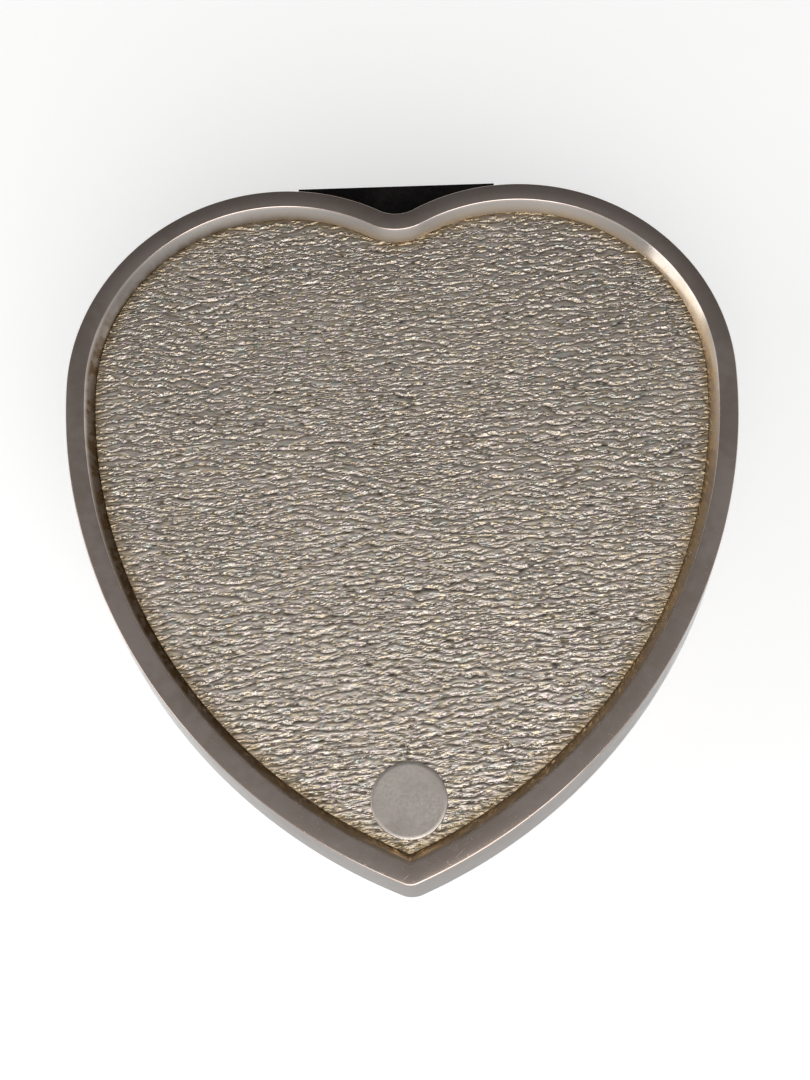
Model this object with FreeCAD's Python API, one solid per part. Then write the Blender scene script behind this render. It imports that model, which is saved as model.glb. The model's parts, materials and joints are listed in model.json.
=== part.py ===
import FreeCAD, Part
import math
import os

# Heart-shaped wind up music box, closed. Millimetres, +Z up, heart tip towards -Y, hinge towards +Y.
# The pieces are drawn with the middle of the two lobes on Y = 0 and moved to the origin when saved.

# Heart outline at the lid's upper edge
WIDTH = 100.0
LOBE_R = 32.0
SIDE_R = 79.0
CLEFT_R = 9.0
TIP_R = 2.5
INNER_TIP_R = 1.5

# Lid
LID_H = 12.0
LID_FLARE = 1.4
LID_WALL = 2.6
RIM_W = 2.7
COVE_W = 1.3
COVE_DEPTH = 1.8
PANEL_T = 0.8
PANEL_GAP = 0.05
LID_PLATE_T = 1.5
LINING_T = 2.0
LINING_GAP = 0.3
DISC_R = 5.3
DISC_T = 0.4
DISC_FROM_TIP = 11.3

# Base
FELT_T = 1.0
FELT_MARGIN = 0.2
BASE_INSET = 0.6
BASE_TAPER = 1.4
BASE_WALL = 2.4
FLANGE_W = 4.0
FLANGE_T = 2.0
LEDGE_W = 1.6
LEDGE_T = 1.5
PLATE_T = 1.2
PLATE_GAP = 0.25
SEAM = 0.2

# Hinge
HINGE_HALF_W = 15.5
KNUCKLE_HALF_W = 5.0
KNUCKLE_R = 2.0
KNUCKLE_GAP = 0.3
KNUCKLE_SIDE_GAP = 0.1
HINGE_PIN_R = 0.8
HINGE_BEHIND_LOBE = 0.6
LID_LEAF_DROP = 3.0
LEAF_GAP = 0.2
BASE_LEAF_H = 10.0
HINGE_SCREW_X = 7.0
HINGE_SCREW_R = 1.0
HINGE_SCREW_LEN = 6.0

# Velvet tray and clear cover
DECK_T = 1.5
TRAY_GAP = 0.3
WELL_WALL = 1.5
WELL_LIFT = 0.4
WINDOW_GAP = 0.6
COVER_T = 1.4
COVER_LAP = 2.0
COVER_DROP = 0.8
COVER_CLEAR = 0.6
DECK_STRIP = 1.0
SLOT_GAP = 0.6

# Fasteners
SCREW_R = 0.9
HEAD_R = 1.8
HEAD_T = 0.8
SLOT_W = 0.4
SLOT_D = 0.35
POINT_GAP = 0.2

# Running fits
BORE_GAP = 0.05
END_GAP = 0.1

# Movement bedplate
BED_T = 2.0
BED_MARGIN = 0.6
BED_FRONT = 22.0
BED_REAR = 19.5

# Winding key, arbor and spring housing
ARBOR_R = 1.5
ARBOR_END = 0.4
COLLAR_R = 2.7
COLLAR_T = 0.5
KEY_WING_R = 4.2
KEY_WING_X = 5.6
KEY_WING_T = 1.8
KEY_EYE_R = 2.3
KEY_HUB_R = 2.8
KEY_CLEAR = 0.7
KEY_SOCKET = 5.0
HOUSING_H = 10.4
HOUSING_WALL = 0.8
SPRING_T = 0.35
SPRING_PITCH = 1.0
SPRING_IN_R = 2.3
SPRING_GAP = 0.3
BRIDGE_T = 1.2
BRIDGE_W = 8.0
POST_R = 2.0
POST_GAP = 0.3

# Gear train
CROWN_TEETH = 36
CROWN_R = 9.5
CROWN_FACE = 1.4
CROWN_T = 1.4
PINION_TEETH = 12
CGEAR_TEETH = 40
CGEAR_MODULE = 0.36
CGEAR_T = 1.2
GPINION_TEETH = 8
WHEEL_TEETH = 24
WHEEL_MODULE = 0.3
WHEEL_T = 1.2
WORM_R = 0.8
WORM_DEPTH = 0.06
WORM_H = 6.0
ADDENDUM = 0.8
DEDENDUM = 1.15
TOOTH_SHARE = 0.36
TIP_SHARE = 0.2
GEAR_CLEAR = 0.4

# Pin cylinder and comb
NOTES = 18
NOTE_PITCH = 0.98
PINS_PER_NOTE = 3
CYL_R = 6.3
CYL_ARBOR_R = 0.8
CYL_MARGIN = 0.5
PIN_R = 0.22
PIN_H = 0.55
PLUCK_GAP = 0.15
TOOTH_GAP = 0.24
COMB_TOOTH_L = 9.0
COMB_HEEL = 5.2
COMB_T = 1.0

# Bearings and governor
SIDE_GAP = 0.6
BEARING_T = 1.4
BEARING_TOP = 3.2
BEARING_HALF_W = 12.6
BEARING_POST_HALF_W = 4.0
FOOT_T = 1.2
FOOT_L = 4.2
FOOT_W = 4.0
GOV_ARBOR_R = 0.5
GOV_FOOT_L = 5.5
GOV_POST_W = 1.5
GOV_POST_T = 1.4
GOV_ARM_T = 1.0
FLY_R = 4.0
FLY_H = 3.2
FLY_T = 0.4
FLY_HUB_R = 1.1
FLY_GAP = 0.4

# Stop lever
WIRE_R = 0.6
STOP_GAP = 0.3
STOP_ARM = 7.5
STOP_ROD = 4.5
STOP_LIFT = 4.3
STOP_EYE_R = 1.5
STOP_PIN_R = 0.7
STOP_EAR_T = 1.0
STOP_EAR_W = 3.4
STOP_SWING = 8.0
STOP_WALL_GAP = 0.2
FINGER_SHORT = 1.0

V = FreeCAD.Vector
X_AXIS = V(1, 0, 0)
Y_AXIS = V(0, 1, 0)
Z_AXIS = V(0, 0, 1)

# Heart outline, worked out
lobe_x = WIDTH / 2 - LOBE_R
side_x = SIDE_R - WIDTH / 2
cleft_y = math.sqrt((LOBE_R + CLEFT_R) ** 2 - lobe_x ** 2)

# Offsets of the base's outlines from the lid's upper edge
base_bottom = -BASE_INSET - BASE_TAPER
base_inner = base_bottom - BASE_WALL
flange_inner = base_inner - FLANGE_W
ledge_inner = base_inner - LEDGE_W
well_outer = ledge_inner - TRAY_GAP
panel_edge = -RIM_W - COVE_W

# Heights of the base's lower half
key_recess = 2 * KEY_WING_R + 2 * KEY_CLEAR
plate_z0 = FELT_T + key_recess
plate_z1 = plate_z0 + PLATE_T
flange_z1 = plate_z1 + FLANGE_T
bed_z1 = plate_z1 + BED_T

# Gear sizes and the height of the cylinder's axis
crown_module = 2 * CROWN_R / CROWN_TEETH
pinion_r = crown_module * PINION_TEETH / 2
cgear_r = CGEAR_MODULE * CGEAR_TEETH / 2
gpinion_r = CGEAR_MODULE * GPINION_TEETH / 2
wheel_r = WHEEL_MODULE * WHEEL_TEETH / 2
cgear_tip = cgear_r + ADDENDUM * CGEAR_MODULE
wheel_tip = wheel_r + ADDENDUM * WHEEL_MODULE
axis_over_plate = max(cgear_tip, CYL_R + PIN_H) + GEAR_CLEAR
axis_over_bed = pinion_r + DEDENDUM * crown_module + CROWN_T + COLLAR_T + 2 * END_GAP
axis_z = max(plate_z1 + axis_over_plate, bed_z1 + axis_over_bed)

# Heights of the winding side
crown_root_z = axis_z - pinion_r - DEDENDUM * crown_module
crown_tip_z = axis_z - pinion_r + ADDENDUM * crown_module
crown_z0 = crown_root_z - CROWN_T
collar_z0 = crown_z0 - END_GAP - COLLAR_T
boss_z1 = collar_z0 - END_GAP
housing_r = CROWN_R - CROWN_FACE / 2 - GEAR_CLEAR
housing_z0 = crown_tip_z + GEAR_CLEAR
bridge_z0 = housing_z0 + HOUSING_H
bridge_z1 = bridge_z0 + BRIDGE_T
post_y = CROWN_R + CROWN_FACE / 2 + POST_R + POST_GAP

# Heights above the movement
deck_z1 = bridge_z1 + max(ARBOR_END, HEAD_T) + COVER_CLEAR
deck_z0 = deck_z1 - DECK_T
cover_z1 = deck_z1 + COVER_T
base_z1 = cover_z1 + COVER_DROP
lid_z0 = base_z1 + SEAM
lid_z1 = lid_z0 + LID_H
panel_z1 = lid_z1 - COVE_DEPTH
panel_z0 = panel_z1 - PANEL_T
ceiling_z = panel_z0 - LID_PLATE_T
lining_z0 = ceiling_z - LINING_T

# Places and heights of the governor
gov_y = cgear_r + gpinion_r
worm_y = gov_y + wheel_tip + WORM_R + WORM_DEPTH
gov_foot_y0 = cgear_tip + GEAR_CLEAR
gov_post_y0 = worm_y + FLY_R + FLY_GAP
gov_y1 = gov_post_y0 + GOV_POST_T
gov_top = axis_z + BEARING_TOP
fly_z0 = axis_z + max(wheel_tip, BEARING_TOP) + FLY_GAP
arm_z0 = fly_z0 + FLY_H + FLY_GAP
arm_z1 = arm_z0 + GOV_ARM_T

# Stop lever, in the plane of the fly's axis. Its bracket stands just clear of the base's right-hand flange.
stop_half_w = WIRE_R + 2 * END_GAP
stop_reach = stop_half_w + STOP_EAR_T
stop_wall_x = lobe_x + math.sqrt((LOBE_R + flange_inner) ** 2 - (worm_y + stop_reach) ** 2)
stop_x = stop_wall_x - STOP_WALL_GAP - STOP_EAR_W / 2
finger_x = stop_x - STOP_ARM
rod_x = stop_x - STOP_ROD
stop_z = plate_z1 + STOP_LIFT

# Places along the cylinder's axis, from the stop lever back to the spring housing
worm_x = finger_x - WIRE_R - STOP_GAP - FLY_R
wheel_x0 = worm_x - WHEEL_T / 2
wheel_x1 = worm_x + WHEEL_T / 2
outer_x0 = wheel_x1 + SIDE_GAP + GEAR_CLEAR
outer_x1 = outer_x0 + BEARING_T
cgear_x1 = wheel_x0 - SIDE_GAP
cgear_x0 = cgear_x1 - CGEAR_T
frame_x1 = cgear_x0 - SIDE_GAP
frame_x0 = frame_x1 - BEARING_T
cyl_x1 = frame_x0 - SIDE_GAP
cyl_x0 = cyl_x1 - NOTES * NOTE_PITCH - 2 * CYL_MARGIN
bearing_x1 = cyl_x0 - SIDE_GAP
bearing_x0 = bearing_x1 - BEARING_T
pinion_x1 = bearing_x0 - SIDE_GAP
pinion_x0 = pinion_x1 + 2 * END_GAP - CROWN_FACE
drum_x = pinion_x1 + END_GAP - CROWN_FACE / 2 - CROWN_R
bed_x0 = drum_x - CROWN_R - CROWN_FACE / 2 - BED_MARGIN
bed_x1 = outer_x1 + BED_MARGIN

# Comb
comb_x0 = cyl_x0 + CYL_MARGIN
comb_x1 = comb_x0 + NOTES * NOTE_PITCH
comb_tip_y = -CYL_R - PIN_H - PLUCK_GAP
comb_root_y = comb_tip_y - COMB_TOOTH_L
comb_heel_y = comb_root_y - COMB_HEEL
comb_z0 = axis_z - COMB_T / 2
comb_z1 = axis_z + COMB_T / 2

# Hinge axis
hinge_y = LOBE_R + LID_FLARE + HINGE_BEHIND_LOBE
hinge_z = base_z1

# Front and rear reach give the shift that centres the box on the origin
tip_centre_y = -math.sqrt((SIDE_R - TIP_R) ** 2 - side_x ** 2)
front_reach = tip_centre_y - TIP_R - LID_FLARE
rear_reach = hinge_y + KNUCKLE_R
shift_y = -(front_reach + rear_reach) / 2
disc_y = tip_centre_y - TIP_R + DISC_FROM_TIP


# Plain solids
def box(x0, x1, y0, y1, z0, z1):
    return Part.makeBox(x1 - x0, y1 - y0, z1 - z0, V(x0, y0, z0))


def rod_along_x(x0, x1, y, z, r):
    return Part.makeCylinder(r, x1 - x0, V(x0, y, z), X_AXIS)


def rod_along_y(x, y0, y1, z, r):
    return Part.makeCylinder(r, y1 - y0, V(x, y0, z), Y_AXIS)


def rod_along_z(x, y, z0, z1, r):
    return Part.makeCylinder(r, z1 - z0, V(x, y, z0), Z_AXIS)


def prism(points, direction):
    face = Part.Face(Part.makePolygon(points + points[:1]))
    return face.extrude(direction)


def group(solids):
    return Part.makeCompound(solids)


# Heart outlines, all parallel to the lid's upper edge
def lobe_point(angle, offset):
    a = math.radians(angle)
    r = LOBE_R + offset
    return (lobe_x + r * math.cos(a), r * math.sin(a))


def side_point(angle, offset):
    a = math.radians(angle)
    r = SIDE_R + offset
    return (-side_x + r * math.cos(a), r * math.sin(a))


def heart_wire(offset, z):
    tip_r = max(TIP_R + offset, INNER_TIP_R)
    side_r = SIDE_R + offset
    tip_y = -math.sqrt((side_r - tip_r) ** 2 - side_x ** 2)
    tip_angle = math.degrees(math.atan2(tip_y, side_x))
    cleft_angle = math.degrees(math.atan2(cleft_y, -lobe_x))
    tip_end = side_point(tip_angle, offset)
    side_mid = side_point(tip_angle / 2, offset)
    wide = lobe_point(0, offset)
    lobe_mid = lobe_point(cleft_angle / 2, offset)
    lobe_end = lobe_point(cleft_angle, offset)
    cleft_mid = (0, cleft_y - CLEFT_R + offset)
    tip_mid = (0, tip_y - tip_r)

    def right(p):
        return V(p[0], p[1], z)

    def left(p):
        return V(-p[0], p[1], z)

    arcs = [
        Part.Arc(left(tip_end), right(tip_mid), right(tip_end)),
        Part.Arc(right(tip_end), right(side_mid), right(wide)),
        Part.Arc(right(wide), right(lobe_mid), right(lobe_end)),
        Part.Arc(right(lobe_end), right(cleft_mid), left(lobe_end)),
        Part.Arc(left(lobe_end), left(lobe_mid), left(wide)),
        Part.Arc(left(wide), left(side_mid), left(tip_end)),
    ]
    return Part.Wire([arc.toShape() for arc in arcs])


def heart_prism(offset, z0, z1):
    return Part.Face(heart_wire(offset, z0)).extrude(V(0, 0, z1 - z0))


def heart_taper(offset0, z0, offset1, z1):
    return Part.makeLoft([heart_wire(offset0, z0), heart_wire(offset1, z1)], True, True)


def heart_ring(outer, inner, z0, z1):
    return heart_prism(outer, z0, z1).cut(heart_prism(inner, z0, z1))


# Screws: a round slotted head on a plain shank
def screw_down(x, y, seat, length):
    head = rod_along_z(x, y, seat, seat + HEAD_T, HEAD_R)
    slot = box(x - HEAD_R, x + HEAD_R, y - SLOT_W / 2, y + SLOT_W / 2, seat + HEAD_T - SLOT_D, seat + HEAD_T)
    return head.cut(slot).fuse(rod_along_z(x, y, seat - length, seat, SCREW_R))


def screw_up(x, y, seat, length):
    head = rod_along_z(x, y, seat - HEAD_T, seat, HEAD_R)
    slot = box(x - HEAD_R, x + HEAD_R, y - SLOT_W / 2, y + SLOT_W / 2, seat - HEAD_T, seat - HEAD_T + SLOT_D)
    return head.cut(slot).fuse(rod_along_z(x, y, seat, seat + length, SCREW_R))


def holes_down(places, z0, z1):
    return group([rod_along_z(x, y, z0, z1, SCREW_R) for x, y in places])


# A spur wheel on an axis along X. start is the angle of a tooth, from +Y towards +Z.
def spur_gear(x0, x1, y, z, module, teeth, start, bore):
    pitch_r = module * teeth / 2
    root_r = pitch_r - DEDENDUM * module
    tip_r = pitch_r + ADDENDUM * module
    step = 2 * math.pi / teeth
    foot_half = step * (0.5 - TOOTH_SHARE / 2)
    tip_half = step * TIP_SHARE / 2
    points = []
    for i in range(teeth):
        mid = math.radians(start) + i * step
        for r, a in ((root_r, -foot_half), (tip_r, -tip_half), (tip_r, tip_half), (root_r, foot_half)):
            points.append(V(x0, y + r * math.cos(mid + a), z + r * math.sin(mid + a)))
    gear = prism(points, V(x1 - x0, 0, 0))
    return gear.cut(rod_along_x(x0, x1, y, z, bore))


# Lid
lid_screw_z = (lid_z0 + lid_z1 - LID_LEAF_DROP) / 2
base_screw_z = base_z1 - LEAF_GAP - BASE_LEAF_H / 2
hinge_screw_sides = (-HINGE_SCREW_X, HINGE_SCREW_X)


def hinge_screws(z):
    screws = []
    for x in hinge_screw_sides:
        head = rod_along_y(x, hinge_y - HEAD_T, hinge_y, z, HEAD_R)
        slot = box(x - HEAD_R, x + HEAD_R, hinge_y - SLOT_D, hinge_y, z - SLOT_W / 2, z + SLOT_W / 2)
        shank = rod_along_y(x, hinge_y - HINGE_SCREW_LEN, hinge_y - HEAD_T, z, HINGE_SCREW_R)
        screws.append(head.cut(slot).fuse(shank))
    return group(screws)


def hinge_screw_holes(z):
    holes = []
    for x in hinge_screw_sides:
        holes.append(rod_along_y(x, hinge_y - HEAD_T, hinge_y, z, HEAD_R))
        holes.append(rod_along_y(x, hinge_y - HINGE_SCREW_LEN, hinge_y, z, HINGE_SCREW_R))
    return group(holes)


def lid_outside():
    return heart_taper(LID_FLARE, lid_z0, 0, lid_z1)


def lid_shell():
    cove = heart_taper(panel_edge, panel_z1, -RIM_W, lid_z1)
    seat = heart_prism(panel_edge, panel_z0, panel_z1)
    hollow = heart_prism(-LID_WALL, lid_z0, panel_z0)
    shell = lid_outside().cut(cove).cut(seat).cut(hollow)
    for x0, x1 in outer_knuckles:
        shell = shell.cut(knuckle_room(x0, x1))
    return shell.cut(hinge_screw_holes(lid_screw_z))


def lid_panel():
    return heart_prism(panel_edge - PANEL_GAP, panel_z0, panel_z1)


def lid_plate():
    return heart_prism(-LID_WALL - PANEL_GAP, ceiling_z, panel_z0)


def initial_disc():
    return rod_along_z(0, disc_y, panel_z1, panel_z1 + DISC_T, DISC_R)


def lid_lining():
    return heart_prism(-LID_WALL - LINING_GAP, lining_z0, ceiling_z)


# Hinge in the cleft: two black leaves, three knuckles and a pin
def knuckle(x0, x1):
    return rod_along_x(x0, x1, hinge_y, hinge_z, KNUCKLE_R)


def knuckle_room(x0, x1):
    room_r = KNUCKLE_R + KNUCKLE_GAP
    return rod_along_x(x0 - KNUCKLE_SIDE_GAP, x1 + KNUCKLE_SIDE_GAP, hinge_y, hinge_z, room_r)


def hinge_bore(gap):
    return rod_along_x(-HINGE_HALF_W, HINGE_HALF_W, hinge_y, hinge_z, HINGE_PIN_R + gap)


outer_knuckles = (
    (-HINGE_HALF_W, -KNUCKLE_HALF_W - KNUCKLE_SIDE_GAP),
    (KNUCKLE_HALF_W + KNUCKLE_SIDE_GAP, HINGE_HALF_W),
)


def lid_hinge_leaf():
    block = box(-HINGE_HALF_W, HINGE_HALF_W, 0, hinge_y, lid_z0, lid_z1 - LID_LEAF_DROP)
    leaf = block.cut(lid_outside())
    for x0, x1 in outer_knuckles:
        leaf = leaf.cut(knuckle_room(x0, x1))
    leaf = leaf.fuse(knuckle(-KNUCKLE_HALF_W, KNUCKLE_HALF_W))
    return leaf.cut(hinge_bore(BORE_GAP)).cut(hinge_screw_holes(lid_screw_z))


def base_hinge_leaf():
    block = box(-HINGE_HALF_W, HINGE_HALF_W, 0, hinge_y, base_z1 - LEAF_GAP - BASE_LEAF_H, base_z1 - LEAF_GAP)
    leaf = block.cut(base_outside()).cut(knuckle_room(-KNUCKLE_HALF_W, KNUCKLE_HALF_W))
    for x0, x1 in outer_knuckles:
        leaf = leaf.fuse(knuckle(x0, x1))
    return leaf.cut(hinge_bore(0)).cut(hinge_screw_holes(base_screw_z))


def hinge_pin():
    return hinge_bore(0)


# Base
plate_screw_places = []
for corner in (lobe_point(45, base_inner - FLANGE_W / 2), side_point(-45, base_inner - FLANGE_W / 2)):
    plate_screw_places += [corner, (-corner[0], corner[1])]
bed_screw_x0 = bed_x0 + 2 * HEAD_R
bed_screw_x1 = bed_x1 - 2 * HEAD_R
bed_screw_y = BED_FRONT - 2 * HEAD_R
bed_screw_places = [(bed_screw_x0, -bed_screw_y), (bed_screw_x1, -bed_screw_y), (bed_screw_x0, post_y)]
stop_foot_l = 2 * HEAD_R + 2 * POINT_GAP
stop_screw = (stop_x, worm_y - stop_reach - stop_foot_l / 2)
plate_screw_len = PLATE_T + FLANGE_T - POINT_GAP
bed_screw_len = PLATE_T + BED_T - POINT_GAP


def base_outside():
    return heart_taper(base_bottom, FELT_T, -BASE_INSET, base_z1)


def base_body():
    body = base_outside().cut(heart_prism(base_inner, FELT_T, base_z1))
    return body.cut(hinge_screw_holes(base_screw_z))


# Two rings soldered inside the base: one takes the bottom plate's screws, the other carries the tray
def plate_ring():
    ring = heart_ring(base_inner, flange_inner, plate_z1, flange_z1)
    return ring.cut(holes_down(plate_screw_places, plate_z1, plate_z0 + plate_screw_len))


def tray_ring():
    return heart_ring(base_inner, ledge_inner, deck_z0 - LEDGE_T, deck_z0)


def felt_ring():
    return heart_ring(base_bottom - FELT_MARGIN, base_inner + FELT_MARGIN, 0, FELT_T)


def bottom_plate():
    plate = heart_prism(base_inner - PLATE_GAP, plate_z0, plate_z1)
    plate = plate.cut(holes_down(plate_screw_places + bed_screw_places + [stop_screw], plate_z0, plate_z1))
    return plate.cut(rod_along_z(drum_x, 0, plate_z0, plate_z1, ARBOR_R + GEAR_CLEAR))


def bottom_plate_screws():
    return group([screw_up(x, y, plate_z0, plate_screw_len) for x, y in plate_screw_places])


# Velvet deck, the trinket well hung under it, and the clear cover over the movement
cover_reach = WINDOW_GAP + COVER_LAP
tray_edge = base_inner - TRAY_GAP
well_rear_y = -BED_FRONT - cover_reach - DECK_STRIP
well_z0 = flange_z1 + WELL_LIFT


def well_block(inset, z0, z1):
    front = box(-WIDTH, WIDTH, -WIDTH, well_rear_y - inset, z0, z1)
    return heart_prism(well_outer - inset, z0, z1).common(front)


def movement_window(reach, edge, z0, z1):
    window = box(bed_x0 - reach, bed_x1 + reach, -BED_FRONT - reach, BED_REAR + reach, z0, z1)
    return window.common(heart_prism(edge, z0, z1))


def tray_deck():
    deck = heart_prism(tray_edge, deck_z0, deck_z1).cut(well_block(WELL_WALL, deck_z0, deck_z1))
    deck = deck.cut(movement_window(WINDOW_GAP, tray_edge - LEDGE_W, deck_z0, deck_z1))
    slot_half_w = WIRE_R + SLOT_GAP
    swing = (deck_z1 - stop_z) * math.tan(math.radians(STOP_SWING))
    slot = box(rod_x - slot_half_w, rod_x + slot_half_w + swing, worm_y - slot_half_w, worm_y + slot_half_w,
               deck_z0, deck_z1)
    return deck.cut(slot)


def trinket_well():
    return well_block(0, well_z0, deck_z0).cut(well_block(WELL_WALL, well_z0 + WELL_WALL, deck_z0))


def movement_cover():
    sheet = box(bed_x0 - cover_reach, bed_x1 + cover_reach, -BED_FRONT - cover_reach, BED_REAR + cover_reach,
                deck_z1, cover_z1)
    upright = [e for e in sheet.Edges if abs(e.tangentAt(e.FirstParameter).z) > 0.9]
    return sheet.makeFillet(COVER_LAP, upright).common(heart_prism(tray_edge, deck_z1, cover_z1))


# Movement: bedplate with its comb block, arbor boss and cylinder window
comb_screw_places = []
for share in (0.2, 0.8):
    comb_screw_places.append((comb_x0 + share * (comb_x1 - comb_x0), comb_heel_y + COMB_HEEL / 2))
bearing_screw_x = bearing_x0 - FOOT_L / 2
bearing_screw_y = BEARING_HALF_W - FOOT_W / 2
bearing_screw_places = [(bearing_screw_x, -bearing_screw_y), (bearing_screw_x, bearing_screw_y)]
gov_screw_x = frame_x0 - GOV_FOOT_L / 2
gov_screw_places = [(gov_screw_x, gov_foot_y0 + 2 * HEAD_R), (gov_screw_x, gov_y1 - HEAD_R)]
bridge_places = [(drum_x, -post_y), (drum_x, post_y)]
comb_screw_len = COMB_T + COMB_HEEL / 2
foot_screw_len = FOOT_T + BED_T / 2
bridge_screw_len = 2 * BRIDGE_T + POST_R


def movement_bedplate():
    bed = movement_window(0, flange_inner - PLATE_GAP, plate_z1, bed_z1)
    bed = bed.fuse(box(comb_x0, comb_x1, comb_heel_y, comb_root_y, bed_z1, comb_z0))
    bed = bed.fuse(rod_along_z(drum_x, 0, plate_z1, boss_z1, COLLAR_R))
    side = SIDE_GAP / 2
    room = CYL_R + PIN_H + GEAR_CLEAR
    bed = bed.cut(box(cyl_x0 - side, cyl_x1 + side, -room, room, plate_z1, bed_z1))
    bed = bed.cut(box(cgear_x0 - side, cgear_x1 + side, -cgear_tip, cgear_tip, plate_z1, bed_z1))
    bed = bed.cut(rod_along_z(drum_x, 0, plate_z1, boss_z1, ARBOR_R + BORE_GAP))
    bed = bed.cut(holes_down(bed_screw_places, plate_z1, plate_z0 + bed_screw_len))
    bed = bed.cut(holes_down(comb_screw_places, comb_z1 - comb_screw_len, comb_z0))
    foot_top = bed_z1 + FOOT_T
    return bed.cut(holes_down(bearing_screw_places + gov_screw_places, foot_top - foot_screw_len, bed_z1))


def movement_screws():
    return group([screw_up(x, y, plate_z0, bed_screw_len) for x, y in bed_screw_places])


def comb():
    plate = box(comb_x0, comb_x1, comb_heel_y, comb_root_y, comb_z0, comb_z1)
    for i in range(NOTES):
        x0 = comb_x0 + i * NOTE_PITCH + TOOTH_GAP / 2
        plate = plate.fuse(box(x0, x0 + NOTE_PITCH - TOOTH_GAP, comb_root_y, comb_tip_y, comb_z0, comb_z1))
    plate = plate.cut(holes_down(comb_screw_places, comb_z0, comb_z1))
    return plate.removeSplitter()


def comb_screws():
    return group([screw_down(x, y, comb_z1, comb_screw_len) for x, y in comb_screw_places])


# Winding key and arbor
key_z0 = FELT_T + KEY_CLEAR
key_mid_z = key_z0 + KEY_WING_R
key_top = plate_z0 - KEY_CLEAR
socket_z0 = key_top - KEY_SOCKET


def winding_key():
    key = rod_along_z(drum_x, 0, socket_z0 - KEY_WING_T / 2, key_top, KEY_HUB_R)
    for side in (-1, 1):
        wing_x = drum_x + side * KEY_WING_X
        key = key.fuse(rod_along_y(wing_x, -KEY_WING_T / 2, KEY_WING_T / 2, key_mid_z, KEY_WING_R))
    for side in (-1, 1):
        wing_x = drum_x + side * KEY_WING_X
        key = key.cut(rod_along_y(wing_x, -KEY_WING_T, KEY_WING_T, key_mid_z, KEY_EYE_R))
    return key.cut(rod_along_z(drum_x, 0, socket_z0, key_top, ARBOR_R))


def winding_arbor():
    return rod_along_z(drum_x, 0, socket_z0, bridge_z1 + ARBOR_END, ARBOR_R)


def arbor_collar():
    ring = rod_along_z(drum_x, 0, collar_z0, collar_z0 + COLLAR_T, COLLAR_R)
    return ring.cut(winding_arbor())


# Spring housing, hung from its bridge
def spring_housing():
    drum = rod_along_z(drum_x, 0, housing_z0, bridge_z0, housing_r)
    drum = drum.cut(rod_along_z(drum_x, 0, housing_z0, bridge_z0 - HOUSING_WALL, housing_r - HOUSING_WALL))
    return drum.cut(rod_along_z(drum_x, 0, housing_z0, bridge_z0, ARBOR_R + BORE_GAP))


def housing_cap():
    cap = rod_along_z(drum_x, 0, housing_z0, housing_z0 + HOUSING_WALL, housing_r - HOUSING_WALL)
    return cap.cut(rod_along_z(drum_x, 0, housing_z0, housing_z0 + HOUSING_WALL, ARBOR_R + BORE_GAP))


def spring_chain(shift, halves, z):
    arcs = []
    for i in range(halves):
        side = 1 if i % 2 == 0 else -1
        r = SPRING_IN_R + i * SPRING_PITCH / 2 + shift
        centre = drum_x - side * SPRING_PITCH / 4
        start = V(centre + side * r, 0, z)
        end = V(centre - side * r, 0, z)
        arcs.append(Part.Arc(start, V(centre, side * r, z), end).toShape())
    return arcs, V(arcs[0].Vertexes[0].Point), V(arcs[-1].Vertexes[1].Point)


def mainspring():
    z0 = housing_z0 + HOUSING_WALL + SPRING_GAP
    z1 = bridge_z0 - HOUSING_WALL - SPRING_GAP
    room = housing_r - HOUSING_WALL - SPRING_GAP - SPRING_IN_R - SPRING_T
    halves = int(2 * room / SPRING_PITCH)
    inner, inner_start, inner_end = spring_chain(-SPRING_T / 2, halves, z0)
    outer, outer_start, outer_end = spring_chain(SPRING_T / 2, halves, z0)
    caps = [Part.makeLine(inner_start, outer_start), Part.makeLine(inner_end, outer_end)]
    wire = Part.Wire(Part.__sortEdges__(inner + outer + caps))
    return Part.Face(wire).extrude(V(0, 0, z1 - z0))


def housing_bridge():
    reach = post_y + POST_R
    plate = box(drum_x - BRIDGE_W / 2, drum_x + BRIDGE_W / 2, -reach, reach, bridge_z0, bridge_z1)
    plate = plate.cut(rod_along_z(drum_x, 0, bridge_z0, bridge_z1, ARBOR_R + BORE_GAP))
    return plate.cut(holes_down(bridge_places, bridge_z0, bridge_z1))


def bridge_posts():
    posts = [rod_along_z(x, y, bed_z1, bridge_z0, POST_R) for x, y in bridge_places]
    holes = holes_down(bridge_places, bridge_z1 - bridge_screw_len, bridge_z0)
    return group([post.cut(holes) for post in posts])


def bridge_screws():
    return group([screw_down(x, y, bridge_z1, bridge_screw_len) for x, y in bridge_places])


# Drive gear: a crown wheel whose teeth stand up into the cylinder's pinion
def drive_gear():
    outer_r = CROWN_R + CROWN_FACE / 2
    inner_r = CROWN_R - CROWN_FACE / 2
    gear = rod_along_z(drum_x, 0, crown_z0, crown_root_z, outer_r)
    step = 2 * math.pi * CROWN_R / CROWN_TEETH
    foot_half = step * TOOTH_SHARE / 2 + step * TIP_SHARE / 2
    tip_half = step * TIP_SHARE / 2
    profile = [
        V(drum_x + inner_r, -foot_half, crown_root_z),
        V(drum_x + inner_r, foot_half, crown_root_z),
        V(drum_x + inner_r, tip_half, crown_tip_z),
        V(drum_x + inner_r, -tip_half, crown_tip_z),
    ]
    tooth = prism(profile, V(outer_r - inner_r, 0, 0)).common(
        rod_along_z(drum_x, 0, crown_root_z, crown_tip_z, outer_r))
    teeth = []
    for i in range(CROWN_TEETH):
        copy = tooth.copy()
        copy.rotate(V(drum_x, 0, 0), Z_AXIS, (i + 0.5) * 360 / CROWN_TEETH)
        teeth.append(copy)
    gear = gear.multiFuse(teeth)
    return gear.cut(rod_along_z(drum_x, 0, crown_z0, crown_root_z, ARBOR_R + BORE_GAP))


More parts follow.
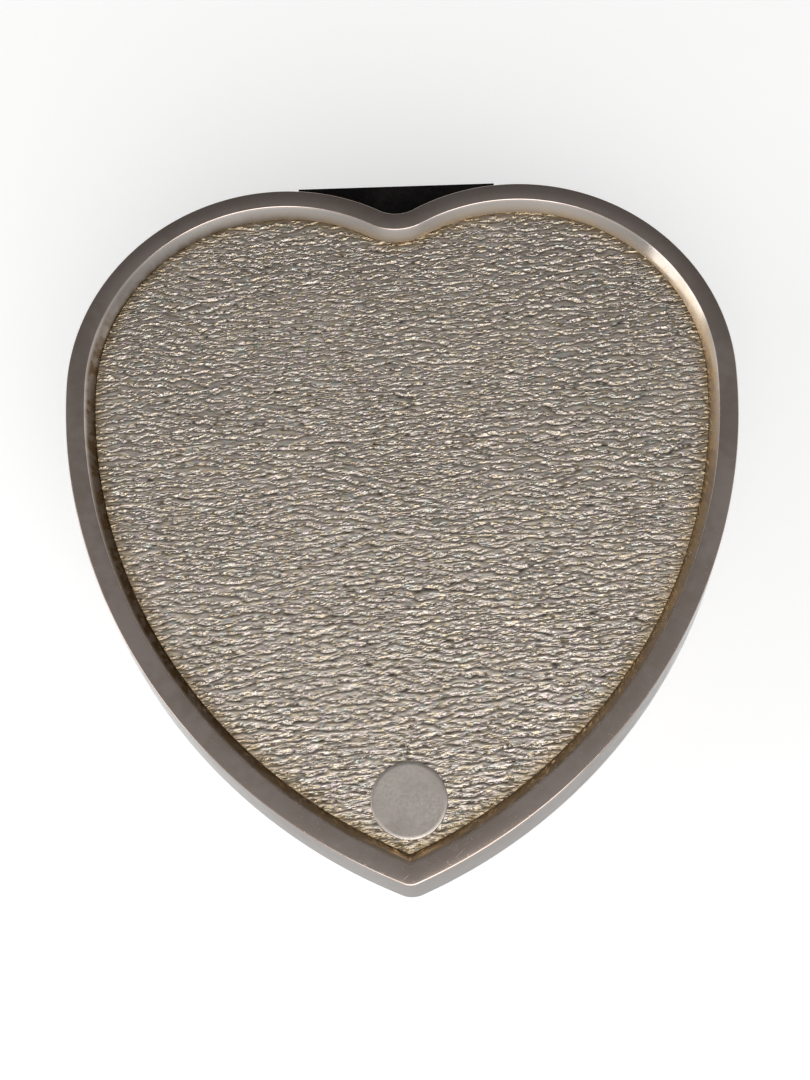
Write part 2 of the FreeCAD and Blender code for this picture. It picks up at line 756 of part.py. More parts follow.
# Pin cylinder
def cylinder():
    return rod_along_x(cyl_x0, cyl_x1, 0, axis_z, CYL_R).cut(cylinder_arbor())


def cylinder_pins():
    pins = []
    for note in range(NOTES):
        x = comb_x0 + (note + 0.5) * NOTE_PITCH
        for k in range(PINS_PER_NOTE):
            angle = (note * 67 + k * 360 / PINS_PER_NOTE + 11 * k * note) % 360
            pin = Part.makeCylinder(PIN_R, PIN_H, V(x, CYL_R, 0), Y_AXIS)
            pin.rotate(V(0, 0, 0), X_AXIS, angle)
            pin.translate(V(0, 0, axis_z))
            pins.append(pin.cut(rod_along_x(cyl_x0, cyl_x1, 0, axis_z, CYL_R)))
    return group(pins)


def cylinder_arbor():
    return rod_along_x(pinion_x0, cgear_x1 + END_GAP, 0, axis_z, CYL_ARBOR_R)


def cylinder_pinion():
    return spur_gear(pinion_x0, pinion_x1, 0, axis_z, crown_module, PINION_TEETH, -90, CYL_ARBOR_R)


def cylinder_gear():
    return spur_gear(cgear_x0, cgear_x1, 0, axis_z, CGEAR_MODULE, CGEAR_TEETH, 0, CYL_ARBOR_R)


def arbor_bearing():
    top = axis_z + BEARING_TOP
    plate = box(bearing_x0, bearing_x1, -BEARING_HALF_W, BEARING_HALF_W, bed_z1, bed_z1 + FOOT_T)
    plate = plate.fuse(box(bearing_x0, bearing_x1, -BEARING_POST_HALF_W, BEARING_POST_HALF_W, bed_z1, top))
    for side in (-1, 1):
        y0 = min(side * BEARING_HALF_W, side * (BEARING_HALF_W - FOOT_W))
        plate = plate.fuse(box(bearing_x0 - FOOT_L, bearing_x0, y0, y0 + FOOT_W, bed_z1, bed_z1 + FOOT_T))
    plate = plate.cut(rod_along_x(bearing_x0, bearing_x1, 0, axis_z, CYL_ARBOR_R + BORE_GAP))
    return plate.cut(holes_down(bearing_screw_places, bed_z1, bed_z1 + FOOT_T))


def bearing_screws():
    return group([screw_down(x, y, bed_z1 + FOOT_T, foot_screw_len) for x, y in bearing_screw_places])


# Governor: frame, wheel and fly
def governor_frame():
    foot_z1 = bed_z1 + FOOT_T
    frame = box(frame_x0 - GOV_FOOT_L, outer_x1, gov_foot_y0, gov_y1, bed_z1, foot_z1)
    frame = frame.fuse(box(frame_x0, frame_x1, -BEARING_TOP, gov_y1, bed_z1, gov_top))
    frame = frame.fuse(box(outer_x0, outer_x1, gov_foot_y0 - BEARING_T, gov_y1, bed_z1, gov_top))
    post_x0 = worm_x - GOV_POST_W
    post_x1 = worm_x + GOV_POST_W
    frame = frame.fuse(box(post_x0, post_x1, gov_post_y0, gov_y1, bed_z1, arm_z1))
    frame = frame.fuse(box(post_x0, post_x1, worm_y - GOV_POST_W, gov_y1, arm_z0, arm_z1))
    frame = frame.cut(rod_along_x(frame_x0, frame_x1, 0, axis_z, CYL_ARBOR_R + BORE_GAP))
    frame = frame.cut(rod_along_x(frame_x0, outer_x1, gov_y, axis_z, GOV_ARBOR_R + BORE_GAP))
    frame = frame.cut(rod_along_z(worm_x, worm_y, bed_z1 + FOOT_T / 2, arm_z1, GOV_ARBOR_R + BORE_GAP))
    return frame.cut(holes_down(gov_screw_places, bed_z1, foot_z1))


def governor_screws():
    return group([screw_down(x, y, bed_z1 + FOOT_T, foot_screw_len) for x, y in gov_screw_places])


def governor_arbor():
    arbor = rod_along_x(frame_x0, outer_x1, gov_y, axis_z, GOV_ARBOR_R)
    pinion = spur_gear(cgear_x0, cgear_x1, gov_y, axis_z, CGEAR_MODULE, GPINION_TEETH,
                       180 + 180 / GPINION_TEETH, GOV_ARBOR_R)
    return arbor.fuse(pinion)


def governor_wheel():
    return spur_gear(wheel_x0, wheel_x1, gov_y, axis_z, WHEEL_MODULE, WHEEL_TEETH, 0, GOV_ARBOR_R)


def governor_worm():
    spindle = rod_along_z(worm_x, worm_y, bed_z1 + FOOT_T / 2 + END_GAP, arm_z1, GOV_ARBOR_R)
    return spindle.fuse(rod_along_z(worm_x, worm_y, axis_z - WORM_H / 2, axis_z + WORM_H / 2, WORM_R))


def air_fly():
    fly_z1 = fly_z0 + FLY_H
    hub = rod_along_z(worm_x, worm_y, fly_z0, fly_z1, FLY_HUB_R)
    blade = box(worm_x - FLY_R, worm_x + FLY_R, worm_y - FLY_T / 2, worm_y + FLY_T / 2, fly_z0, fly_z1)
    sweep = rod_along_z(worm_x, worm_y, fly_z0, fly_z1, FLY_R)
    return hub.fuse(blade.common(sweep)).cut(rod_along_z(worm_x, worm_y, fly_z0, fly_z1, GOV_ARBOR_R))


# Stop lever: a bent wire that the lid holds against the fly, in a small bracket
def stop_lever():
    eye = rod_along_y(stop_x, worm_y - WIRE_R, worm_y + WIRE_R, stop_z, STOP_EYE_R)
    arm = rod_along_x(finger_x, stop_x, worm_y, stop_z, WIRE_R)
    finger = rod_along_z(finger_x, worm_y, stop_z, fly_z0 + FLY_H - FINGER_SHORT, WIRE_R)
    rod = rod_along_z(rod_x, worm_y, stop_z, lining_z0 - STOP_GAP, WIRE_R)
    elbow = Part.makeSphere(WIRE_R, V(finger_x, worm_y, stop_z))
    lever = eye.fuse(arm).fuse(finger).fuse(rod).fuse(elbow)
    bore = rod_along_y(stop_x, worm_y - WIRE_R, worm_y + WIRE_R, stop_z, STOP_PIN_R + BORE_GAP)
    return lever.cut(bore)


stop_ear_x0 = stop_x - STOP_EAR_W / 2
stop_ear_x1 = stop_x + STOP_EAR_W / 2


def stop_bracket():
    top = stop_z + STOP_EYE_R
    foot_z1 = plate_z1 + FOOT_T
    y0 = worm_y - stop_reach
    y1 = worm_y + stop_reach
    foot = box(stop_ear_x0, stop_ear_x1, y0 - stop_foot_l, y1, plate_z1, foot_z1)
    ears = box(stop_ear_x0, stop_ear_x1, y0, y1, plate_z1, top)
    slot = box(stop_ear_x0, stop_ear_x1, worm_y - stop_half_w, worm_y + stop_half_w, foot_z1, top)
    return foot.fuse(ears).cut(slot).cut(stop_pivot()).cut(holes_down([stop_screw], plate_z1, foot_z1))


def stop_bracket_screw():
    return screw_down(stop_screw[0], stop_screw[1], plate_z1 + FOOT_T, FOOT_T + PLATE_T)


def stop_pivot():
    return rod_along_y(stop_x, worm_y - stop_reach, worm_y + stop_reach, stop_z, STOP_PIN_R)


pieces = [
    lid_shell, lid_panel, initial_disc, lid_plate, lid_lining, lid_hinge_leaf,
    base_body, plate_ring, tray_ring, felt_ring, bottom_plate, bottom_plate_screws,
    base_hinge_leaf, hinge_pin,
    tray_deck, trinket_well, movement_cover, movement_bedplate, movement_screws, comb, comb_screws,
    spring_housing, housing_cap, mainspring, housing_bridge, bridge_posts, bridge_screws,
    arbor_bearing, bearing_screws, governor_frame, governor_screws,
    stop_bracket, stop_bracket_screw, stop_pivot,
    winding_key, winding_arbor, arbor_collar, drive_gear,
    cylinder, cylinder_pins, cylinder_arbor, cylinder_pinion, cylinder_gear,
    governor_arbor, governor_wheel, governor_worm, air_fly, stop_lever,
]

solids = {piece.__name__: piece() for piece in pieces}
solids["lid_hinge_screws"] = hinge_screws(lid_screw_z)
solids["base_hinge_screws"] = hinge_screws(base_screw_z)

os.makedirs("parts", exist_ok=True)
for node, solid in solids.items():
    solid.translate(V(0, shift_y, 0))
    solid.exportStep("parts/" + node + ".step")
    room = solid.BoundBox
    low = [round(v, 2) for v in (room.XMin, room.YMin, room.ZMin)]
    high = [round(v, 2) for v in (room.XMax, room.YMax, room.ZMax)]
    print(node, len(solid.Solids), solid.isValid(), round(solid.Volume, 1), low, high)
print("shift_y", shift_y, "axis_z", axis_z, "hinge", hinge_y + shift_y, hinge_z, "lid_z1", lid_z1)
print("drum_x", drum_x, "worm", worm_x, worm_y + shift_y, "gov_y", gov_y + shift_y, "stop", stop_x, stop_z)
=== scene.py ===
import json
import math

import bmesh
import bpy
import numpy as np
from mathutils import Matrix, Vector


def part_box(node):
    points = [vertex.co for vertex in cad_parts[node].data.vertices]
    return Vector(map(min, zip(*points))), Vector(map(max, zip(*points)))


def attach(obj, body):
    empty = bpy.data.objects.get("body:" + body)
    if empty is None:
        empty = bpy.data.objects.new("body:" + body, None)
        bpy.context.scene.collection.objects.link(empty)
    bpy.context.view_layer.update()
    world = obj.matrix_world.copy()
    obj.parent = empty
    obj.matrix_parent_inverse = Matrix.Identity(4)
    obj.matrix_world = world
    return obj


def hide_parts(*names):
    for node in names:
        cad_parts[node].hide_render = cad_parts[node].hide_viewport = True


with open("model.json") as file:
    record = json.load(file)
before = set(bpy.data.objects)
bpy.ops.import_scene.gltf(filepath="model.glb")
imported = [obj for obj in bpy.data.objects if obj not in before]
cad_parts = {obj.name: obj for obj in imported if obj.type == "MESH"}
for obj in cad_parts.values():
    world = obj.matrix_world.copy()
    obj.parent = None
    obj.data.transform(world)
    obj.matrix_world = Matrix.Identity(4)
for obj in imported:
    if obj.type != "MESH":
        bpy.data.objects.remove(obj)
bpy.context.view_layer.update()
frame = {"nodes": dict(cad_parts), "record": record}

# Base wall: the lower half of the heart-shaped box, cast in white metal, silver plated and polished.
# The wall leans out towards the lid, and the polishing has rounded its four edges.
LOBE_R = 0.032
SIDE_R = 0.079
CLEFT_R = 0.0055
TIP_R = 0.0025
INNER_TIP_R = 0.0006
LID_FLARE = 0.0014
BASE_INSET = 0.0006
BASE_TAPER = 0.0014
BASE_WALL = 0.0024
BASE_FOOT_EASE = 0.0007
BASE_LIP_EASE = 0.0004
WELD = 0.000002

base_low, base_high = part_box("base_body")
lid_low, lid_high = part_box("lid_shell")
half_width = lid_high.x - LID_FLARE
lobe_x = half_width - LOBE_R
lobe_y = lid_high.y - LID_FLARE - LOBE_R
side_x = SIDE_R - half_width
cleft_y = math.sqrt((LOBE_R + CLEFT_R) ** 2 - lobe_x ** 2)
cleft_turn = math.atan2(cleft_y, -lobe_x)
base_foot = -BASE_INSET - BASE_TAPER
base_inner = base_foot - BASE_WALL

TIP_STEPS = 12
SIDE_STEPS = 72
LOBE_STEPS = 90
CLEFT_STEPS = 30
EASE_STEPS = 5
EASE_HOLD = 0.4


def arc(x, y, r, start, end, steps):
    turns = np.linspace(start, end, steps, endpoint=False)
    return np.column_stack((x + r * np.cos(turns), y + r * np.sin(turns)))


def heart(offset):
    """Points round a heart that runs that far outside the lid's upper edge."""
    tip_r = max(TIP_R + offset, INNER_TIP_R)
    tip_y = -math.sqrt((SIDE_R + offset - tip_r) ** 2 - side_x ** 2)
    tip_turn = math.atan2(tip_y, side_x)
    outline = [
        arc(0, tip_y, tip_r, -math.pi - tip_turn, tip_turn, TIP_STEPS),
        arc(-side_x, 0, SIDE_R + offset, tip_turn, 0, SIDE_STEPS),
        arc(lobe_x, 0, LOBE_R + offset, 0, cleft_turn, LOBE_STEPS),
        arc(0, cleft_y, CLEFT_R - offset, cleft_turn - math.pi, -cleft_turn, CLEFT_STEPS),
        arc(-lobe_x, 0, LOBE_R + offset, math.pi - cleft_turn, math.pi, LOBE_STEPS),
        arc(side_x, 0, SIDE_R + offset, math.pi, math.pi - tip_turn, SIDE_STEPS),
    ]
    return np.concatenate(outline) + (0, lobe_y)


def offset_of(places):
    """How far each point lies outside the lid's upper edge, and the direction that leads outwards."""
    x = np.abs(places[:, 0])
    y = places[:, 1] - lobe_y
    mirror = np.where(places[:, 0] < 0, -1.0, 1.0)
    in_cleft = (y > 0) & (np.arctan2(y, x - lobe_x) > cleft_turn)
    on_side = y <= 0
    centre_x = np.where(in_cleft, 0.0, np.where(on_side, -side_x, lobe_x))
    centre_y = np.where(in_cleft, cleft_y, 0.0)
    radius = np.where(in_cleft, CLEFT_R, np.where(on_side, SIDE_R, LOBE_R))
    outwards = np.where(in_cleft, -1.0, 1.0)
    spoke = np.column_stack((x - centre_x, y - centre_y))
    length = np.linalg.norm(spoke, axis=1)
    way = spoke / length[:, None] * outwards[:, None]
    way[:, 0] *= mirror
    return (length - radius) * outwards, way


def mesh_points(mesh):
    points = np.empty(len(mesh.vertices) * 3)
    mesh.vertices.foreach_get("co", points)
    return points.reshape(-1, 3)


def eased_section(corners):
    """A closed section of (offset, height) points from (offset, height, radius) corners."""
    points = []
    for i, (offset, height, radius) in enumerate(corners):
        here = Vector((offset, height))
        if radius == 0:
            points.append(here)
            continue
        back = (Vector(corners[i - 1][:2]) - here).normalized()
        on = (Vector(corners[(i + 1) % len(corners)][:2]) - here).normalized()
        half = back.angle(on) / 2
        reach = radius / math.tan(half)
        centre = here + (back + on).normalized() * radius / math.sin(half)
        start = here + back * reach - centre
        end = here + on * reach - centre
        points.append(here + back * (reach + EASE_HOLD * radius))
        for k in range(EASE_STEPS + 1):
            points.append(centre + start.lerp(end, k / EASE_STEPS).normalized() * radius)
        points.append(here + on * (reach + EASE_HOLD * radius))
    return points


def new_piece(name, mesh):
    piece = bpy.data.objects.new(name, mesh)
    bpy.context.scene.collection.objects.link(piece)
    return piece


def piece_from(name, vertices, faces):
    mesh = bpy.data.meshes.new(name)
    mesh.from_pydata(np.asarray(vertices).tolist(), [], faces)
    work = bmesh.new()
    work.from_mesh(mesh)
    bmesh.ops.recalc_face_normals(work, faces=work.faces)
    work.to_mesh(mesh)
    work.free()
    mesh.shade_smooth()
    return new_piece(name, mesh)


def band_faces(rings, closed=False):
    """Four-sided faces from each ring of points to the next, and from the last to the first if closed."""
    count = len(rings[0])
    faces = []
    for i in range(len(rings) if closed else len(rings) - 1):
        low = i * count
        high = (i + 1) % len(rings) * count
        for k in range(count):
            after = (k + 1) % count
            faces.append((low + k, low + after, high + after, high + k))
    return faces


def heart_ring(name, section):
    """A solid ring with that section, swept round the heart."""
    rings = [np.insert(heart(offset), 2, height, axis=1) for offset, height in section]
    return piece_from(name, np.concatenate(rings), band_faces(rings, closed=True))


body_of = {}
for body, members in frame["record"]["behaviour"]["bodies"].items():
    for node in members:
        body_of[node] = body


def stand_for(piece, node, material):
    piece.data.materials.clear()
    piece.data.materials.append(material)
    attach(piece, body_of[node])
    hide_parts(node)


def add(tree, kind, inputs, **settings):
    node = tree.nodes.new(kind)
    for key, value in settings.items():
        setattr(node, key, value)
    for key, value in inputs.items():
        if isinstance(value, bpy.types.NodeSocket):
            tree.links.new(value, node.inputs[key])
        else:
            node.inputs[key].default_value = value
    return node


def sums(tree, operation, *terms):
    inputs = dict(enumerate(terms))
    return add(tree, "ShaderNodeMath", inputs, operation=operation).outputs[0]


def ramp(tree, value, low, high, to_low=0.0, to_high=1.0):
    inputs = {"Value": value, "From Min": low, "From Max": high, "To Min": to_low, "To Max": to_high}
    return add(tree, "ShaderNodeMapRange", inputs, interpolation_type="SMOOTHSTEP").outputs[0]


def tinted(tree, share, first, second):
    inputs = {"Factor": share, "A_Color": first, "B_Color": second}
    mix = tree.nodes.new("ShaderNodeMix")
    mix.data_type = "RGBA"
    for socket in mix.inputs:
        value = inputs.get(socket.identifier.replace("Factor_Float", "Factor"))
        if isinstance(value, bpy.types.NodeSocket):
            tree.links.new(value, socket)
        elif value is not None:
            socket.default_value = value
    return next(s for s in mix.outputs if s.identifier == "Result_Color")


def noise(tree, place, scale, detail):
    inputs = {"Vector": place, "Scale": scale, "Detail": detail}
    return add(tree, "ShaderNodeTexNoise", inputs).outputs["Fac"]


def stretched(tree, place, turn, scale):
    """The place, turned first and then scaled, so that a lay can run in any direction."""
    turned = add(tree, "ShaderNodeMapping", {"Vector": place, "Rotation": turn}).outputs[0]
    return add(tree, "ShaderNodeMapping", {"Vector": turned, "Scale": scale}).outputs[0]


def new_effect(name, inputs, outputs):
    """A shader node group, with the sockets that feed it and the sockets that it fills."""
    group = bpy.data.node_groups.new(name, "ShaderNodeTree")
    for socket, kind in inputs.items():
        group.interface.new_socket(socket, in_out="INPUT", socket_type=kind)
    for socket, kind in outputs.items():
        group.interface.new_socket(socket, in_out="OUTPUT", socket_type=kind)
    given = group.nodes.new("NodeGroupInput").outputs
    result = group.nodes.new("NodeGroupOutput").inputs
    return group, given, result


def effect(tree, group, inputs):
    return add(tree, "ShaderNodeGroup", inputs, node_tree=group).outputs


HAIRLINE_LAYS = ((0.35, 5200.0), (1.25, 4100.0), (-0.7, 6400.0))
HAIRLINE_TILT = (0.25, 0.15)
HAIRLINE_ALONG = 90.0
HAIRLINE_NONE = 0.8
HAIRLINE_GAIN = -0.2
HAIRLINE_SOFT = 0.06


def hairline_effect():
    """Fine straight scratches from wiping and handling, in three crossing directions."""
    group, given, result = new_effect(
        "hairlines", {"Place": "NodeSocketVector", "Amount": "NodeSocketFloat"}, {"Mask": "NodeSocketFloat"})
    low = sums(group, "MULTIPLY_ADD", given["Amount"], HAIRLINE_GAIN, HAIRLINE_NONE)
    high = sums(group, "ADD", low, HAIRLINE_SOFT)
    mask = 0.0
    for turn, fine in HAIRLINE_LAYS:
        place = stretched(group, given["Place"], (*HAIRLINE_TILT, turn), (HAIRLINE_ALONG, fine, fine))
        line = ramp(group, noise(group, place, 1.0, 1.0), low, high)
        mask = sums(group, "MAXIMUM", mask, line)
    group.links.new(mask, result["Mask"])
    return group


MOTTLE_FINER = 9.0
MOTTLE_SHARE = 0.3
CLOUD_EDGES = (0.42, 0.62)
MOTTLE_EDGES = (0.38, 0.62)


def cloud_effect():
    """Soft patches of tarnish, with a finer mottle inside them."""
    group, given, result = new_effect(
        "tarnish_clouds", {"Place": "NodeSocketVector", "Scale": "NodeSocketFloat"},
        {"Mask": "NodeSocketFloat", "Mottle": "NodeSocketFloat"})
    broad = noise(group, given["Place"], given["Scale"], 4.0)
    fine = noise(group, given["Place"], sums(group, "MULTIPLY", given["Scale"], MOTTLE_FINER), 5.0)
    body = sums(group, "MULTIPLY", broad, 1 - MOTTLE_SHARE)
    patches = sums(group, "MULTIPLY_ADD", fine, MOTTLE_SHARE, body)
    group.links.new(ramp(group, patches, *CLOUD_EDGES), result["Mask"])
    group.links.new(ramp(group, fine, *MOTTLE_EDGES), result["Mottle"])
    return group


hairlines = hairline_effect()
tarnish_clouds = cloud_effect()


def new_material(name):
    material = bpy.data.materials.new(name)
    material.use_nodes = True
    tree = material.node_tree
    place = tree.nodes.new("ShaderNodeTexCoord").outputs["Object"]
    return material, tree, tree.nodes["Principled BSDF"], place


def marked(tree, name):
    """A value that the mesh carries at its points."""
    return add(tree, "ShaderNodeAttribute", {}, attribute_name=name).outputs["Fac"]


def finish_surface(tree, shader, colour, roughness, height, relief):
    """Joins a varying colour, roughness and relief, in metres, to the material's shader."""
    tree.links.new(colour, shader.inputs["Base Color"])
    tree.links.new(roughness, shader.inputs["Roughness"])
    bump = add(tree, "ShaderNodeBump", {"Height": height, "Distance": relief})
    tree.links.new(bump.outputs[0], shader.inputs["Normal"])


SILVER = (0.65, 0.55, 0.495, 1)
SILVER_DULL = (0.53, 0.435, 0.38, 1)
SILVER_BROWN = (0.14, 0.088, 0.045, 1)
SILVER_GOLD = (0.62, 0.46, 0.29, 1)
# SILVER_COVE: darker silver in the cove, painted shade
SILVER_COVE = (0.46, 0.425, 0.395, 1)
# SILVER_SKIRT: darker silver on the side walls, painted shade
SILVER_SKIRT = (0.48, 0.465, 0.455, 1)
SILVER_GLANCE = (0.45, 0.44, 0.43, 1)
SILVER_RAW = (0.33, 0.32, 0.31, 1)
# Brown and gold in the cove towards the tip are a painted reflection, over real tarnish deep in its corner.
BROWN_TO_GOLD_ACROSS = (-0.035, 0.005)
PAINTED_REFLECTION_TOWARDS_TIP = (0.045, 0.02)
PAINTED_REFLECTION_EDGES = (0.02, 0.4)
BROWN_THIN = 0.7
COVE_EDGES = (0.02, 0.25)
SKIRT_SHARE = 0.85
SILVER_WEAR = 0.45
SILVER_CLOUDS = 70.0
SILVER_ROUGH = 0.1
CLOUD_ROUGH = 0.09
HAIRLINE_ROUGH = 0.14
BROWN_ROUGH = 0.04
RAW_ROUGH = 0.4
SWELL_SCALE = 160.0
SWELL_HEIGHT = 6.0
SILVER_RELIEF = 0.0000012


def polished_silver(name):
    material, tree, shader, place = new_material(name)
    lines = effect(tree, hairlines, {"Place": place, "Amount": SILVER_WEAR})["Mask"]
    clouds = effect(tree, tarnish_clouds, {"Place": place, "Scale": SILVER_CLOUDS})
    dull = tinted(tree, clouds["Mask"], SILVER, SILVER_DULL)
    corner = marked(tree, "corner")
    raw = marked(tree, "raw")
    mottled = ramp(tree, clouds["Mottle"], 0.0, 1.0, BROWN_THIN, 1.0)
    at = add(tree, "ShaderNodeSeparateXYZ", {"Vector": place}).outputs
    # Brown to gold across the cove: tarnish deep in its corner, and towards the tip a painted reflection
    # filling it.
    tarnish_and_painted_reflection = tinted(tree, ramp(tree, at["X"], *BROWN_TO_GOLD_ACROSS), SILVER_BROWN, SILVER_GOLD)
    painted_reflection_reach = ramp(tree, at["Y"], *PAINTED_REFLECTION_TOWARDS_TIP)
    deep = sums(tree, "MULTIPLY", corner, corner)
    painted_reflection = sums(tree, "MULTIPLY", painted_reflection_reach, ramp(tree, corner, *PAINTED_REFLECTION_EDGES))
    brown = sums(tree, "MULTIPLY", sums(tree, "MAXIMUM", deep, painted_reflection), mottled)
    # The side walls take a darker silver, SILVER_SKIRT: painted shade, not a change of finish.
    skirt = sums(tree, "MULTIPLY", marked(tree, "skirt"), SKIRT_SHARE)
    skirt_painted_shade = tinted(tree, skirt, dull, SILVER_SKIRT)
    # The cove takes a darker silver, SILVER_COVE: painted shade in the step down to the panel.
    cove_painted_shade = tinted(tree, ramp(tree, corner, *COVE_EDGES), skirt_painted_shade, SILVER_COVE)
    browned = tinted(tree, brown, cove_painted_shade, tarnish_and_painted_reflection)
    colour = tinted(tree, raw, browned, SILVER_RAW)
    haze = sums(tree, "MULTIPLY_ADD", clouds["Mask"], CLOUD_ROUGH, SILVER_ROUGH)
    scuffed = sums(tree, "MULTIPLY_ADD", lines, HAIRLINE_ROUGH, haze)
    settled = sums(tree, "MULTIPLY_ADD", brown, BROWN_ROUGH, scuffed)
    roughness = sums(tree, "MULTIPLY_ADD", raw, RAW_ROUGH, settled)
    swell = noise(tree, place, SWELL_SCALE, 1.0)
    height = sums(tree, "MULTIPLY_ADD", swell, SWELL_HEIGHT, sums(tree, "MULTIPLY", lines, -1.0))
    finish_surface(tree, shader, colour, roughness, height, SILVER_RELIEF)
    shader.inputs["Metallic"].default_value = 1.0
    shader.inputs["Specular Tint"].default_value = SILVER_GLANCE
    return material


def mark(mesh, name, values):
    attribute = mesh.attributes.new(name, "FLOAT", "POINT")
    attribute.data.foreach_set("value", np.asarray(values, dtype=np.float32))


base_silver = polished_silver("base_silver")
base_wall = heart_ring("base_wall", eased_section([
    (base_foot, base_low.z, BASE_FOOT_EASE),
    (-BASE_INSET, base_high.z, BASE_LIP_EASE),
    (base_inner, base_high.z, BASE_LIP_EASE),
    (base_inner, base_low.z, BASE_LIP_EASE),
]))
wall_points = mesh_points(base_wall.data)
# The whole base wall takes the darker skirt silver, painted shade.
mark(base_wall.data, "skirt", np.ones(len(wall_points)))
mark(base_wall.data, "raw", offset_of(wall_points)[0] < base_inner + WELD)
stand_for(base_wall, "base_body", base_silver)

# Plate ring, tray ring and bottom plate: plated sheet, cut to the heart and rolled flat.
# The rings are soldered inside the wall, and four slotted screws hold the plate up against its ring.
SHARP = math.radians(28)
FACETED = math.radians(50)
FLAT = math.radians(1.0)
SHEET_EASE = 0.00015
SCREW_EASE = 0.00012
PLATED = (0.60, 0.59, 0.57, 1)
PLATED_DULL = (0.555, 0.54, 0.515, 1)
NICKEL = (0.64, 0.63, 0.60, 1)
NICKEL_DULL = (0.42, 0.40, 0.37, 1)
METAL_WEAR = 0.4
METAL_STAINS = 240.0
METAL_STAIN_EDGES = (0.4, 0.66)
METAL_STAIN_ROUGH = 0.12
METAL_LINE_ROUGH = 0.1


def apply_modifiers(piece):
    ready = piece.evaluated_get(bpy.context.evaluated_depsgraph_get())
    piece.data = bpy.data.meshes.new_from_object(ready)
    piece.modifiers.clear()


def finished(node, ease, material):
    """The node's own solid with its sharp edges broken by that much."""
    work = bmesh.new()
    work.from_mesh(frame["nodes"][node].data)
    bmesh.ops.remove_doubles(work, verts=work.verts, dist=WELD)
    bmesh.ops.dissolve_limit(work, angle_limit=FLAT, verts=work.verts, edges=work.edges)
    sharp = [edge for edge in work.edges if edge.is_manifold and edge.calc_face_angle() > SHARP]
    bmesh.ops.bevel(work, geom=sharp, offset=ease, offset_type="OFFSET", segments=2, profile=0.5,
                    affect="EDGES", clamp_overlap=True)
    bmesh.ops.triangulate(work, faces=[face for face in work.faces if len(face.verts) > 4])
    mesh = bpy.data.meshes.new(node + "_finished")
    work.to_mesh(mesh)
    work.free()
    mesh.shade_smooth()
    mesh.set_sharp_from_angle(angle=FACETED)
    piece = new_piece(node + "_finished", mesh)
    piece.modifiers.new("even_shading", "WEIGHTED_NORMAL").keep_sharp = True
    apply_modifiers(piece)
    stand_for(piece, node, material)


def grain_effect():
    """Grain of worked metal: a stretched scale gives a ground or turned lay, an even one a cast skin."""
    group, given, result = new_effect(
        "metal_grain", {"Place": "NodeSocketVector", "Lay": "NodeSocketVector"},
        {"Height": "NodeSocketFloat", "Stain": "NodeSocketFloat"})
    lay = add(group, "ShaderNodeMapping", {"Vector": given["Place"], "Scale": given["Lay"]}).outputs[0]
    stains = noise(group, given["Place"], METAL_STAINS, 4.0)
    group.links.new(noise(group, lay, 1.0, 3.0), result["Height"])
    group.links.new(ramp(group, stains, *METAL_STAIN_EDGES), result["Stain"])
    return group


metal_grain = grain_effect()


def worked_metal(name, bright, dull, lay, rough, relief):
    material, tree, shader, place = new_material(name)
    grain = effect(tree, metal_grain, {"Place": place, "Lay": lay})
    lines = effect(tree, hairlines, {"Place": place, "Amount": METAL_WEAR})["Mask"]
    colour = tinted(tree, grain["Stain"], bright, dull)
    worn = sums(tree, "MULTIPLY_ADD", grain["Stain"], METAL_STAIN_ROUGH, rough)
    roughness = sums(tree, "MULTIPLY_ADD", lines, METAL_LINE_ROUGH, worn)
    finish_surface(tree, shader, colour, roughness, grain["Height"], relief)
    shader.inputs["Metallic"].default_value = 1.0
    return material


plated_sheet = worked_metal(
    "plated_sheet", PLATED, PLATED_DULL, lay=(3000.0, 300.0, 3000.0), rough=0.3, relief=0.000004)
nickel = worked_metal(
    "nickel", NICKEL, NICKEL_DULL, lay=(2500.0, 2500.0, 2500.0), rough=0.24, relief=0.000003)
for sheet in ("plate_ring", "tray_ring", "bottom_plate"):
    finished(sheet, SHEET_EASE, plated_sheet)
finished("bottom_plate_screws", SCREW_EASE, nickel)

# Felt ring: a strip of charcoal wool felt, cut to the foot of the wall and glued on.
# The cut edges have softened, and the fibres stand up a little all over.
FELT_MARGIN = 0.0002
FELT_EASE = 0.00038
FELT = (0.050, 0.050, 0.056, 1)
FELT_PALE = (0.115, 0.112, 0.115, 1)
FIBRE_EDGES = (0.42, 0.68)
NAP_TURN = (0.0, 0.0, 0.5)
NAP_SCALE = (110.0, 190.0, 160.0)
NAP_EDGES = (0.3, 0.7)
NAP_SHARE = 0.14
PILE_ROUGH = 0.95
PILE_BRUSHED_ROUGH = 0.8
PILE_SHEEN = 0.6
PILE_SHEEN_ROUGH = 0.4

felt_low, felt_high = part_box("felt_ring")


def pile_effect():
    """Fibres of felt or velvet: a fine standing pile, and patches brushed lighter and darker."""
    group, given, result = new_effect(
        "pile", {"Place": "NodeSocketVector", "Scale": "NodeSocketFloat"},
        {"Height": "NodeSocketFloat", "Fibre": "NodeSocketFloat", "Brushed": "NodeSocketFloat"})
    fibres = noise(group, given["Place"], given["Scale"], 4.0)
    group.links.new(fibres, result["Height"])
    group.links.new(ramp(group, fibres, *FIBRE_EDGES), result["Fibre"])
    nap = stretched(group, given["Place"], NAP_TURN, NAP_SCALE)
    group.links.new(ramp(group, noise(group, nap, 1.0, 3.0), *NAP_EDGES), result["Brushed"])
    return group


pile = pile_effect()


